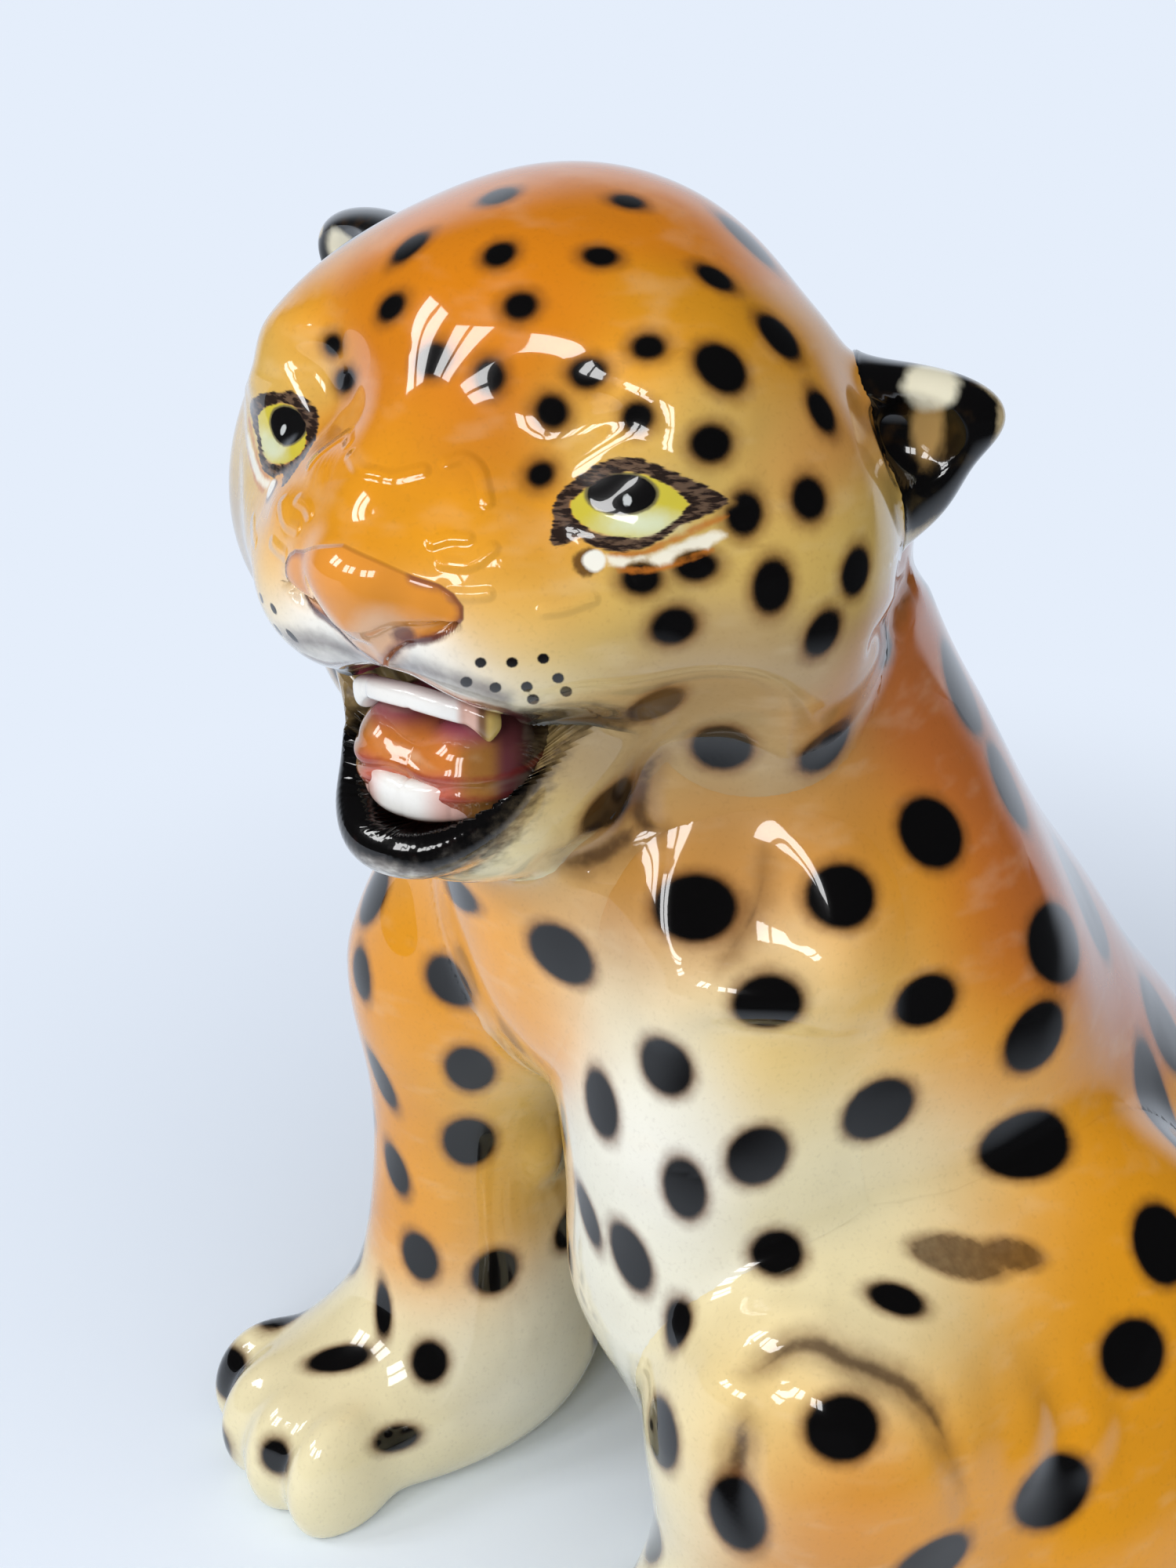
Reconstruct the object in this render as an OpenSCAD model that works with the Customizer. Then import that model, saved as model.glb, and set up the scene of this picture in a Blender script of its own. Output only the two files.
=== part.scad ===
// Sitting leopard cub, a glazed slip-cast figurine
//
// Every casting is modelled the way a sculptor builds it up, from lumps of clay pressed together.
// A lump is an egg or a round-ended bar, and the lumps of one casting melt into each other.
// Rays leave the middle of the casting and stop at its skin, or half a lute gap short of the
// place where a neighbouring casting is as deep as this one. So all castings meet without overlap.
// The animal looks along -Y, its left side is +X, and the origin is the middle of its seat.

/* [Head] */
// Middle of the head, level with the eyes: sideways, forward (negative), height
head_at = [0, -80, 197]; // [-140:0.5:240]
// Turn of the head to its own left, in degrees
head_turn = 33; // [0:1:45]
// Middle of the skull, measured from the head's middle
skull_at = [0, 10.5, 2]; // [-10:0.5:14]
// Half width, half length and half height of the skull
skull_r = [30.5, 24, 25.5]; // [20:0.5:36]
// Middle of the forehead
forehead_at = [0, -5.5, 10.5]; // [-10:0.5:14]
// Half sizes of the forehead
forehead_r = [28, 18, 12.5]; // [10:0.5:32]
// Middle of the left jowl, mirrored for the right
jowl_at = [38.5, 0, -24]; // [-28:0.5:42]
// Half sizes of a jowl
jowl_r = [11.5, 17.5, 25.5]; // [8:0.5:29]
// Middle of the left cheek
cheek_at = [25, -6, -20]; // [-24:0.5:28]
// Half sizes of a cheek
cheek_r = [14, 21, 18]; // [10:0.5:24]
// Middle of the left ruff, the long hair under the cheek
ruff_at = [27, 9, -48]; // [-52:0.5:30]
// Half sizes of a ruff
ruff_r = [16, 17, 13]; // [10:0.5:20]
// Middle of the left temple
temple_at = [30.5, -1.5, 4]; // [-6:0.5:34]
// Half sizes of a temple
temple_r = [6.5, 18, 7]; // [4:0.5:21]
// Middle of the muzzle
muzzle_at = [0, -24, -14]; // [-28:0.5:4]
// Half sizes of the muzzle
muzzle_r = [19, 15, 13]; // [10:0.5:22]
// Middle of the left whisker pad
pad_at = [12.5, -28.5, -22]; // [-32:0.5:15]
// Half sizes of a whisker pad
pad_r = [11.5, 10.5, 10.5]; // [7:0.5:14]
// Upper end of the nose bridge
bridge_top = [0, -15.5, 6.5]; // [-20:0.5:10]
// Lower end of the nose bridge
bridge_tip = [0, -36, -7]; // [-40:0.5:4]
// Radius of the nose bridge at its upper and lower end
bridge_r = [8.5, 1.5]; // [1:0.5:11]
// Middle of the nose
nose_at = [0, -37.5, -14.5]; // [-41:0.5:4]
// Half sizes of the nose
nose_r = [7.5, 7, 4.5]; // [3:0.5:10]

/* [Mouth] */
// Middle of the open mouth, measured from the head's middle
mouth_at = [0, -37, -41.5]; // [-46:0.5:4]
// Half width, half depth and half height of the open mouth
mouth_r = [16.5, 25, 12]; // [9:0.5:28]
// Middle of the chin
chin_at = [0, -20.5, -54.5]; // [-58:0.5:2]
// Half sizes of the chin
chin_r = [12.5, 15.5, 9]; // [7:0.5:18]
// Front end of the left jaw bone
jaw_front = [8, -20, -51.5]; // [-55:0.5:12]
// Back end of the left jaw bone, under the cheek
jaw_back = [19, 0, -34]; // [-40:0.5:23]
// Radius of a jaw bone at its front and back end
jaw_r = [7.5, 13]; // [5:0.5:15]
// Middle of the left mouth corner
corner_at = [15, -13, -38]; // [-42:0.5:19]
// Half sizes of a mouth corner
corner_r = [6.5, 11, 9]; // [4:0.5:14]
// Middle of the lower lip's front
lip_at = [0, -34, -53]; // [-57:0.5:2]
// Half sizes of the lower lip's front
lip_r = [8, 6, 3]; // [2:0.5:11]
// Lower and upper end of the lip's left side
lip_side = [[8, -33, -51.5], [14, -24, -38]]; // [-55:0.5:17]
// Radius of the lip's side at its lower and upper end
lip_side_r = [2, 1.5]; // [1:0.5:4]
// Middle of the hollow between the lips
lip_hollow_at = [0, -27, -41]; // [-45:0.5:4]
// Half sizes of the hollow between the lips
lip_hollow_r = [9.5, 12.5, 11]; // [7:0.5:15]
// Middle of the tongue
tongue_at = [0, -19.5, -44]; // [-47:0.5:2]
// Half sizes of the tongue
tongue_r = [8.5, 9.5, 6.5]; // [4:0.5:12]
// Middle of the upper and the lower tooth arch, counted forward
arch_y = [-22.5, -26]; // [-29:0.5:-19]
// Radius of the upper and the lower tooth arch
arch_r = [10, 7]; // [6:0.5:12]
// Height of the upper and the lower gum, at the middle of the strip
gum_z = [-30.5, -50]; // [-54:0.5:-22]
// Width of a gum strip
gum_w = 2.6; // [2.4:0.1:2.8]
// Thickness of a gum strip
gum_t = 2.4; // [1.6:0.1:3]
// Radius of a front tooth
tooth_r = 1; // [0.7:0.1:1.1]
// Height of a front tooth above the gum
tooth_h = 2.4; // [1:0.1:3]
// Height of an upper eye tooth
canine_h = 5; // [2:0.1:6]
// Half of the arc that the teeth fill, in degrees
tooth_arc = 62; // [40:1:70]

/* [Ears] */
// Middle of the left ear, measured from the head's middle
ear_at = [45, 20, -5]; // [-8:0.5:49]
// How much higher the right ear is joined to the tilted head
ear_lift = 9; // [0:0.5:12]
// Middles of the ear's lobe, flap and root, measured from the ear's middle
ear_lumps = [[1.5, 0, 2.5], [-3.5, 0, -3], [-9.5, -0.5, -4]]; // [-12:0.5:6]
// Half sizes of the lobe, the flap and the root
ear_lump_r = [[13.5, 5.5, 7], [11, 5.5, 10.5], [7.5, 6, 11.5]]; // [4:0.5:16]
// Turn of an ear away from the face, in degrees
ear_turn = 20; // [0:1:35]
// Lean of an ear outwards, in degrees
ear_lean = 6; // [0:1:15]
// Middle of the ear's hollow, measured from the ear's middle
ear_scoop_at = [-1, -7.5, 1.5]; // [-9:0.5:4]
// Half sizes of the ear's hollow
ear_scoop_r = [11, 6, 7]; // [4:0.5:13]

/* [Body] */
// Upper end of the neck
neck_top = [0, -60, 170]; // [-68:0.5:178]
// Lower end of the neck
neck_low = [0, -50, 138]; // [-60:0.5:146]
// Radius of the neck at its upper and lower end
neck_r = [29.5, 32.5]; // [22:0.5:36]
// Middle of the rib cage
ribs_at = [0, -38, 114]; // [-44:0.5:120]
// Half sizes of the rib cage
ribs_r = [36, 33, 42]; // [28:0.5:46]
// Lean of the rib cage, in degrees
ribs_lean = 25; // [10:1:35]
// Middle of the belly
belly_at = [0, -20, 78]; // [-26:0.5:84]
// Half sizes of the belly
belly_r = [41, 40, 44]; // [34:0.5:48]
// Middle of the left flank, mirrored for the right
flank_at = [31, -38, 98]; // [-42:0.5:102]
// Half sizes of a flank
flank_r = [18, 27, 34]; // [14:0.5:37]
// Middle of the rump
rump_at = [0, 0, 42]; // [-6:0.5:46]
// Half sizes of the rump
rump_r = [49, 49, 50]; // [42:0.5:54]
// Middle of the breast
breast_at = [0, -72, 120]; // [-76:0.5:126]
// Half sizes of the breast
breast_r = [26, 22, 34]; // [18:0.5:38]
// Place of the firing vent in the seat: sideways, backward
vent_at = [0, 14]; // [-2:0.5:16]
// Radius of the firing vent
vent_r = 6; // [4:0.5:7]
// Radius of the air passage from the body to the head
passage_r = 8; // [5:0.5:10]
// Radius of the air hole from the body to a leg
air_r = 4; // [2:0.5:6]

/* [Forelegs] */
// Right shoulder, elbow and wrist
right_arm = [[-25, -72, 124], [-25, -84, 94], [-24, -89, 22]]; // [-95:0.5:130]
// Radius of the right foreleg at the shoulder, elbow and wrist
right_arm_r = [20, 16.5, 14]; // [11:0.5:24]
// Middle of the right paw
right_paw_at = [-23, -104, 12]; // [-110:0.5:14]
// Half sizes of the right paw
right_paw_r = [19.5, 30, 17]; // [12:0.5:34]
// Turn of the right paw to the left, in degrees
right_paw_turn = 8; // [-15:1:20]
// Middle of the right heel
right_heel_at = [-23, -80, 26]; // [-86:0.5:30]
// Half sizes of the right heel
right_heel_r = [14, 18, 26]; // [10:0.5:30]
// Left shoulder, elbow, middle of the forearm and wrist
left_arm = [[28, -61, 124], [27, -68, 94], [28, -69, 66], [32, -56, 20]]; // [-75:0.5:130]
// Radius of the left foreleg at the shoulder, elbow, forearm and wrist
left_arm_r = [22, 17.5, 17, 15]; // [11:0.5:26]
// Middle of the left paw
left_paw_at = [33, -50, 11]; // [-58:0.5:37]
// Half sizes of the left paw
left_paw_r = [15.5, 21, 12.5]; // [10:0.5:25]
// Distance of an elbow's point behind the arm
elbow_back = 11; // [6:0.5:14]
// Radius of an elbow's point
elbow_r = 14; // [10:0.5:17]

/* [Hind legs] */
// Middle of the left thigh
left_thigh_at = [44, -22, 49]; // [-28:0.5:54]
// Half sizes of the left thigh
left_thigh_r = [26, 42, 38]; // [20:0.5:46]
// Middle of the left knee
left_knee_at = [57, -62, 56]; // [-68:0.5:62]
// Half sizes of the left knee
left_knee_r = [18, 22, 19]; // [14:0.5:26]
// Heel of the left hind foot
left_heel_at = [50, -14, 13]; // [-20:0.5:54]
// Ball of the left hind foot, where the shin comes down
left_ball_at = [61, -66, 13]; // [-72:0.5:66]
// Middle of the left toes
left_toes_at = [62, -80, 11]; // [-86:0.5:68]
// Half sizes of the left toes
left_toes_r = [17, 26, 12.5]; // [10:0.5:30]
// Middle of the right thigh
right_thigh_at = [-40, -14, 46]; // [-44:0.5:50]
// Half sizes of the right thigh
right_thigh_r = [24, 40, 36]; // [20:0.5:44]
// Middle of the right knee
right_knee_at = [-46, -40, 52]; // [-52:0.5:58]
// Half sizes of the right knee
right_knee_r = [18, 22, 18]; // [14:0.5:26]
// Heel of the right hind foot
right_heel_low = [-40, 4, 13]; // [-44:0.5:16]
// Ball of the right hind foot, where the shin comes down
right_ball_at = [-46, -44, 13]; // [-50:0.5:16]
// Middle of the right toes
right_toes_at = [-46, -54, 11]; // [-60:0.5:14]
// Half sizes of the right toes
right_toes_r = [16, 22, 12.5]; // [10:0.5:26]
// Radius of a shin at the knee and at the foot
shin_r = [17.5, 14.5]; // [11:0.5:20]
// Radius of a hind foot at its heel and at its ball
sole_r = [14, 14]; // [11:0.5:16]

/* [Tail] */
// Distance of the tail's root behind the seat's middle
tail_root = 45; // [42:0.5:50]
// Distance of the tail from the seat's middle where it passes the right thigh
tail_side = 74; // [70:0.5:80]
// Angle round the seat at which the tail leaves the rump, counted from its left
tail_start = 72; // [60:1:90]
// Angle round the seat at which the tail ends
tail_end = 216; // [190:1:225]
// Radius of the tail at its root and near its tip
tail_r = [9.5, 7.5]; // [6:0.5:11]

/* [Casting] */
// Wall of the hollow castings
wall = 4; // [3.5:0.5:6]
// Slip in a joint between two castings
lute = 0.3; // [0.2:0.05:0.5]

/* [Hidden] */

// How softly the lumps of a casting melt into each other
soft_body = 8;
soft_limb = 6;
soft_head = 5;
soft_jaw = 4;
soft_ear = 2;

ochre = "#d98a2b";
cream = "#ecd9b0";
coral = "#cf7a52";
ivory = "#f3efe6";
soot = "#2a211c";

// Turn about X, then Y, then Z, as a matrix
function turned(a) =
    let (cx = cos(a.x), sx = sin(a.x), cy = cos(a.y), sy = sin(a.y), cz = cos(a.z), sz = sin(a.z))
    [
        [cz * cy, cz * sy * sx - sz * cx, cz * sy * cx + sz * sx],
        [sz * cy, sz * sy * sx + cz * cx, sz * sy * cx - cz * sx],
        [-sy, cy * sx, cy * cx]
    ];

// Column number j of a matrix
function column(m, j) = [m[0][j], m[1][j], m[2][j]];

// The other side's place of a point
function mirrored(p) = [-p.x, p.y, p.z];

head_frame = turned([0, 0, head_turn]);

// A place on the head in the figure's own frame
function on_head(p) = head_at + head_frame * p;

// An egg: its middle, and its three axes divided by its half sizes
function egg(c, r, a = [0, 0, 0], frame = turned([0, 0, 0])) =
    let (m = frame * turned(a))
    ["egg", c, column(m, 0) / r.x, column(m, 1) / r.y, column(m, 2) / r.z, [1 / r.x, 1 / r.y, 1 / r.z]];

// An egg given in the head's frame
function head_egg(c, r, a = [0, 0, 0]) = egg(on_head(c), r, a, head_frame);

// A round-ended bar: its start, its run and the change of its radius
function bar(a, b, r) = ["bar", a, b - a, 1 / ((b - a) * (b - a)), r[0], r[1] - r[0]];

// Distance from a point to the skin of an egg, close to true near the skin and negative inside
function egg_depth(p, l) =
    let (
        v = p - l[1],
        q = [v * l[2], v * l[3], v * l[4]],
        k = norm(q),
        g = norm([q.x * l[5].x, q.y * l[5].y, q.z * l[5].z])
    )
    g < 1e-6 ? -1 / max(l[5]) : k * (k - 1) / g;

// Distance from a point to the skin of a bar
function bar_depth(p, l) =
    let (v = p - l[1], h = min(1, max(0, (v * l[2]) * l[3])))
    norm(v - h * l[2]) - l[4] - h * l[5];

function lump_depth(p, l) = l[0] == "egg" ? egg_depth(p, l) : bar_depth(p, l);

// Distance to a group of lumps that melt into each other over the length k
function group_depth(p, group) =
    let (
        k = group[0],
        d = [for (l = group[1]) lump_depth(p, l)],
        least = min(d),
        sum = [for (x = d) exp((least - x) / k)] * [for (x = d) 1]
    )
    least - k * ln(sum);

// The lumps of each casting, with how softly they melt together
body_clay = [soft_body, [
    bar(neck_top, neck_low, neck_r),
    egg(ribs_at, ribs_r, [ribs_lean, 0, 0]),
    egg(belly_at, belly_r),
    egg(flank_at, flank_r),
    egg(mirrored(flank_at), flank_r),
    egg(rump_at, rump_r),
    egg(breast_at, breast_r)
]];

head_clay = [soft_head, [
    head_egg(skull_at, skull_r),
    head_egg(forehead_at, forehead_r),
    head_egg(jowl_at, jowl_r),
    head_egg(mirrored(jowl_at), jowl_r),
    head_egg(cheek_at, cheek_r),
    head_egg(mirrored(cheek_at), cheek_r),
    head_egg(ruff_at, ruff_r),
    head_egg(mirrored(ruff_at), ruff_r),
    head_egg(temple_at, temple_r),
    head_egg(mirrored(temple_at), temple_r),
    head_egg(muzzle_at, muzzle_r),
    head_egg(pad_at, pad_r),
    head_egg(mirrored(pad_at), pad_r),
    bar(on_head(bridge_top), on_head(bridge_tip), bridge_r),
    head_egg(nose_at, nose_r)
]];

jaw_clay = [soft_jaw, [
    head_egg(chin_at, chin_r),
    bar(on_head(jaw_front), on_head(jaw_back), jaw_r),
    bar(on_head(mirrored(jaw_front)), on_head(mirrored(jaw_back)), jaw_r),
    head_egg(corner_at, corner_r),
    head_egg(mirrored(corner_at), corner_r),
    head_egg(lip_at, lip_r),
    bar(on_head(lip_side[0]), on_head(lip_side[1]), lip_side_r),
    bar(on_head(mirrored(lip_side[0])), on_head(mirrored(lip_side[1])), lip_side_r)
]];

tongue_clay = [soft_ear, [head_egg(tongue_at, tongue_r)]];
mouth_hollow = [soft_ear, [head_egg(mouth_at, mouth_r)]];
lip_hollow = [soft_ear, [head_egg(lip_hollow_at, lip_hollow_r)]];

// The middle and the turn of the left ear (side 1) or the right ear (side -1)
function ear_middle(side) = [side * ear_at.x, ear_at.y, ear_at.z + (side < 0 ? ear_lift : 0)];
function ear_angles(side) = [0, -side * ear_lean, side * ear_turn];

// An egg given in an ear's own frame
function ear_egg(side, c, r) =
    head_egg(ear_middle(side) + turned(ear_angles(side)) * [side * c.x, c.y, c.z], r, ear_angles(side));

// An ear's lumps, and the hollow in front of them
function ear_clay(side) = [soft_ear + 1, [for (i = [0 : 2]) ear_egg(side, ear_lumps[i], ear_lump_r[i])]];
function ear_hollow(side) = [soft_ear, [ear_egg(side, ear_scoop_at, ear_scoop_r)]];

// The point of an elbow, behind the arm
function elbow(arm) = arm[1] + [0, elbow_back, -6];

// The bars of an arm from joint to joint
function arm_bars(arm, r) = [for (i = [0 : len(arm) - 2]) bar(arm[i], arm[i + 1], [r[i], r[i + 1]])];

right_arm_clay = [soft_limb, concat(arm_bars(right_arm, right_arm_r), [
    egg(elbow(right_arm), [elbow_r, elbow_r, elbow_r]),
    egg(right_heel_at, right_heel_r),
    egg(right_paw_at, right_paw_r, [0, 0, right_paw_turn])
])];

left_arm_clay = [soft_limb, concat(arm_bars(left_arm, left_arm_r), [
    egg(elbow(left_arm), [elbow_r, elbow_r, elbow_r]),
    egg(left_paw_at, left_paw_r)
])];

// A folded hind leg: thigh, knee, shin, and a foot that lies on the table from heel to toes
function hind_clay(thigh_at, thigh_r, knee_at, knee_r, heel_at, ball_at, toes_at, toes_r, splay) =
    [soft_body, [
        egg(thigh_at, thigh_r, [0, 0, splay]),
        egg(knee_at, knee_r),
        bar(knee_at, ball_at, shin_r),
        bar(heel_at, ball_at, sole_r),
        egg(toes_at, toes_r)
    ]];

left_hind_clay = hind_clay(left_thigh_at, left_thigh_r, left_knee_at, left_knee_r,
    left_heel_at, left_ball_at, left_toes_at, left_toes_r, -8);
right_hind_clay = hind_clay(right_thigh_at, right_thigh_r, right_knee_at, right_knee_r,
    right_heel_low, right_ball_at, right_toes_at, right_toes_r, 8);

// The tail lies on the table and curls round the right haunch: its middle line, for u from 0 to 1
function tail_radius(u) = tail_r[0] + (tail_r[1] - tail_r[0]) * u;
function tail_point(u) =
    let (
        angle = tail_start + (tail_end - tail_start) * u,
        sink = 7 * pow(max(0, 1 - 5 * u), 2),
        reach = tail_root - sink + (tail_side - tail_root) * pow(u, 1.5)
    )
    [reach * cos(angle), reach * sin(angle), tail_radius(u) - 1 + 12 * pow(max(0, 1 - 4 * u), 2)];

tail_bars = 12;
tail_clay = [soft_ear, [
    for (i = [0 : tail_bars - 1])
        let (u = i / tail_bars, v = (i + 1) / tail_bars)
        bar(tail_point(u), tail_point(v), [tail_radius(u), tail_radius(v)])
]];

// Depth of a point in a casting: its own clay, the joints with its neighbours and its hollows
function casting_depth(p, own, neighbours, hollows) =
    let (d = group_depth(p, own))
    max(concat(
        [d],
        [for (n = neighbours) (d - group_depth(p, n) + lute) / 2],
        [for (h = hollows) -group_depth(p, h)]
    ));

// Walks along a ray from inside the casting until it is skin deep below the surface
function reach(p, way, t, own, neighbours, hollows, skin, steps) =
    let (d = casting_depth(p + t * way, own, neighbours, hollows) + skin)
    steps == 0 || abs(d) < 0.01 ? t
        : reach(p, way, max(0.2, t - 0.9 * d), own, neighbours, hollows, skin, steps - 1);

function skin_point(ray, own, neighbours, hollows, skin) =
    ray[0] + ray[1] * reach(ray[0], ray[1], 0.5, own, neighbours, hollows, skin, 24);

// Rays from one middle point: rings round the Z axis of a frame, from its low end to its high end
function star_rays(middle, frame, rings, n) =
    [for (i = [0 : rings])
        [for (j = [0 : n - 1])
            let (t = 180 - 180 * i / rings, f = 360 * j / n)
            [middle, frame * [sin(t) * cos(f), sin(t) * sin(f), cos(t)]]]];

// Level rays from a line that climbs through knots of [height, x, y], with a dome of rays on top
function stack_rays(knots, levels, dome, n) =
    let (
        xs = [for (k = knots) [k[0], k[1]]],
        ys = [for (k = knots) [k[0], k[2]]],
        top = levels[len(levels) - 1]
    )
    concat(
        [for (z = levels)
            [for (j = [0 : n - 1])
                [[lookup(z, xs), lookup(z, ys), z], [cos(360 * j / n), sin(360 * j / n), 0]]]],
        [for (i = [1 : dome])
            let (t = 90 * i / dome)
            [for (j = [0 : n - 1])
                let (f = 360 * j / n)
                [[lookup(top, xs), lookup(top, ys), top], [cos(t) * cos(f), cos(t) * sin(f), sin(t)]]]]
    );

// Closes a list of equal rings into a solid: a ring shrunk to a point at either end is a pole
module closed_skin(rings) {
    n = len(rings[0]);
    rows = len(rings);
    middle_rows = [for (i = [1 : rows - 2]) each rings[i]];
    low = len(middle_rows);
    faces = concat(
        [for (j = [0 : n - 1]) [low, j, (j + 1) % n]],
        [for (i = [0 : rows - 4], j = [0 : n - 1])
            let (a = i * n + j, b = i * n + (j + 1) % n)
            each [[a, a + n, b + n], [a, b + n, b]]],
        [for (j = [0 : n - 1])
            [low + 1, (rows - 3) * n + (j + 1) % n, (rows - 3) * n + j]]
    );
    polyhedron(concat(middle_rows, [rings[0][0], rings[rows - 1][0]]), faces);
}

// The skin of a casting along rays that run from its low pole to its high pole
module casting(rays, own, neighbours = [], hollows = [], skin = 0) {
    closed_skin([for (ring = rays) [for (ray = ring) skin_point(ray, own, neighbours, hollows, skin)]]);
}

// As above for a stack of level rays, which starts at a flat end
module standing_casting(knots, levels, dome, n, own, neighbours, skin = 0) {
    rays = stack_rays(knots, levels, dome, n);
    rings = [for (ring = rays) [for (ray = ring) skin_point(ray, own, neighbours, [], skin)]];
    foot = [for (j = [0 : n - 1]) rays[0][0][0]];
    closed_skin(concat([foot], rings));
}

// Everything below the table top, which cuts the resting faces flat
module below_table() {
    translate([-150, -150, -40])
        cube([300, 300, 40]);
}

body_knots = [[0, 0, 0], [40, 0, -4], [78, 0, -20], [114, 0, -38], [138, 0, -50], [170, 0, -60]];
body_levels = [
    -3, 0, 3, 8, 14, 22, 30, 38, 46, 54, 62, 70, 78, 86, 94, 102, 110, 118, 126, 134, 142, 150, 158
];
body_hollow_levels = [wall, 12, 24, 36, 48, 60, 72, 84, 96, 108, 120, 132, 144, 154];
// An ear with room round it, so that the neck ends clear of the ear's root
function ear_room(side) =
    [soft_ear + 1, [for (i = [0 : 2]) ear_egg(side, ear_lumps[i], ear_lump_r[i] + [5, 5, 5])]];
body_neighbours = [
    head_clay, jaw_clay, ear_room(1), ear_room(-1),
    right_arm_clay, left_arm_clay, right_hind_clay, left_hind_clay, tail_clay
];

// A round hole from one point to another
module air_hole(from, to, r) {
    run = to - from;
    translate(from)
        rotate([0, acos(run.z / norm(run)), atan2(run.y, run.x)])
            cylinder(r = r, h = norm(run), $fn = 48);
}

// The hollow castings share their air through the joints, so that none bursts in the kiln
module neck_air() {
    air_hole(neck_low, on_head([0, 4, -6]), passage_r);
}

module leg_air(inside) {
    air_hole([0, inside.y + 20, inside.z], inside, air_r);
}

right_arm_air = right_arm[0] - [0, 4, 16];
left_arm_air = left_arm[0] - [0, 4, 16];

module body() {
    color(ochre)
        difference() {
            standing_casting(body_knots, body_levels, 5, 36, body_clay, body_neighbours);
            standing_casting(body_knots, body_hollow_levels, 3, 18, body_clay, body_neighbours, wall);
            below_table();
            translate([vent_at.x, vent_at.y, -1])
                cylinder(r = vent_r, h = wall + 8, $fn = 48);
            neck_air();
            leg_air(right_arm_air);
            leg_air(left_arm_air);
            leg_air(right_thigh_at);
            leg_air(left_thigh_at);
        }
}

// The head's rays run round an axis from the nape to the nose
head_middle = on_head([0, 0, -6]);
head_axis = head_frame * turned([90, 0, 0]);

module head() {
    neighbours = [body_clay, jaw_clay, ear_clay(1), ear_clay(-1)];
    color(ochre)
        difference() {
            casting(star_rays(head_middle, head_axis, 34, 40), head_clay, neighbours, [mouth_hollow]);
            casting(star_rays(head_middle, head_axis, 12, 16), head_clay, neighbours, [mouth_hollow], wall);
            neck_air();
            in_head()
                gum(0, lute / 2, 3);
        }
}

module in_head() {
    translate(head_at)
        rotate([0, 0, head_turn])
            children();
}

module lower_jaw() {
    color(cream)
        difference() {
            casting(star_rays(on_head(chin_at + [0, 2, -1]), head_axis, 18, 28), jaw_clay,
                [head_clay, body_clay], [lip_hollow]);
            in_head()
                gum(1, lute / 2, 2);
        }
}

module tongue() {
    color(coral)
        closed_skin([for (ring = star_rays(on_head(tongue_at), head_axis, 10, 18))
            [for (ray = ring)
                let (
                    own = reach(ray[0], ray[1], 0.5, tongue_clay, [], [], 0, 24),
                    roof = reach(ray[0], ray[1], 0.5, mouth_hollow, [], [], lute, 24),
                    floor_t = reach(ray[0], ray[1], 0.5, lip_hollow, [], [], lute, 24)
                )
                ray[0] + ray[1] * min(own, roof, floor_t)]]);
}

// A gum strip bent round its arch, upper (0) or lower (1), grown on all sides by the clearance
// and, for the groove that it lies in, opened further towards the mouth
module gum(row, grow, open = 0) {
    arc = tooth_arc + 8;
    translate([0, arch_y[row], gum_z[row] - gum_t / 2 - grow - (row == 0 ? open : 0)])
        rotate([0, 0, -90 - arc])
            rotate_extrude(angle = 2 * arc, $fn = 64)
                translate([arch_r[row] - gum_w / 2 - grow, 0])
                    square([gum_w + 2 * grow, gum_t + 2 * grow + open]);
}

// Teeth along an arch: even front teeth, with a longer eye tooth at both ends of the upper row
module tooth_row(row, count) {
    up = row == 0 ? -1 : 1;
    for (i = [0 : count - 1]) {
        last = i == 0 || i == count - 1;
        a = -90 - tooth_arc + 2 * tooth_arc * i / (count - 1);
        h = last && row == 0 ? canine_h : tooth_h;
        translate([0, arch_y[row], gum_z[row]])
            rotate([0, 0, a])
                translate([arch_r[row], 0, up * gum_t / 2])
                    rotate([up < 0 ? 180 : 0, 0, 0])
                        translate([0, 0, -0.4])
                            cylinder(r1 = tooth_r, r2 = tooth_r * 0.6, h = h + 0.4, $fn = 24);
    }
}

module upper_teeth() {
    color(ivory)
        in_head()
            union() {
                gum(0, 0);
                tooth_row(0, 8);
            }
}

module lower_teeth() {
    color(ivory)
        in_head()
            union() {
                gum(1, 0);
                tooth_row(1, 6);
            }
}

// A cupped ear
module ear(side) {
    middle = on_head(ear_middle(side) + turned(ear_angles(side)) * [0, 2, 0]);
    color(soot)
        casting(star_rays(middle, head_axis, 12, 20), ear_clay(side), [head_clay, body_clay],
            [ear_hollow(side)]);
}

module left_ear() {
    ear(1);
}

module right_ear() {
    ear(-1);
}

leg_levels = [-2, 1, 4, 7, 10, 13, 16, 19, 22, 25, 28, 32, 38, 46, 56, 66, 76, 86, 96, 106, 116, 124];

leg_hollow_levels = [wall, 9, 14, 20, 26, 36, 48, 62, 76, 90, 104, 118];

// A foreleg stands on its paw, and its shoulder lies against the body
module foreleg(arm, paw_at, air, own, neighbours) {
    last = len(arm) - 1;
    knots = concat(
        [[-2, (arm[last].x + paw_at.x) / 2, (arm[last].y + paw_at.y) / 2]],
        [for (i = [last : -1 : 0]) [arm[i].z, arm[i].x, arm[i].y]]
    );
    color(cream)
        difference() {
            standing_casting(knots, leg_levels, 4, 26, own, neighbours);
            standing_casting(knots, leg_hollow_levels, 2, 12, own, neighbours, wall);
            below_table();
            leg_air(air);
        }
}

module left_foreleg() {
    foreleg(left_arm, left_paw_at, left_arm_air, left_arm_clay, [body_clay, left_hind_clay]);
}

module right_foreleg() {
    foreleg(right_arm, right_paw_at, right_arm_air, right_arm_clay, [body_clay]);
}

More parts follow.
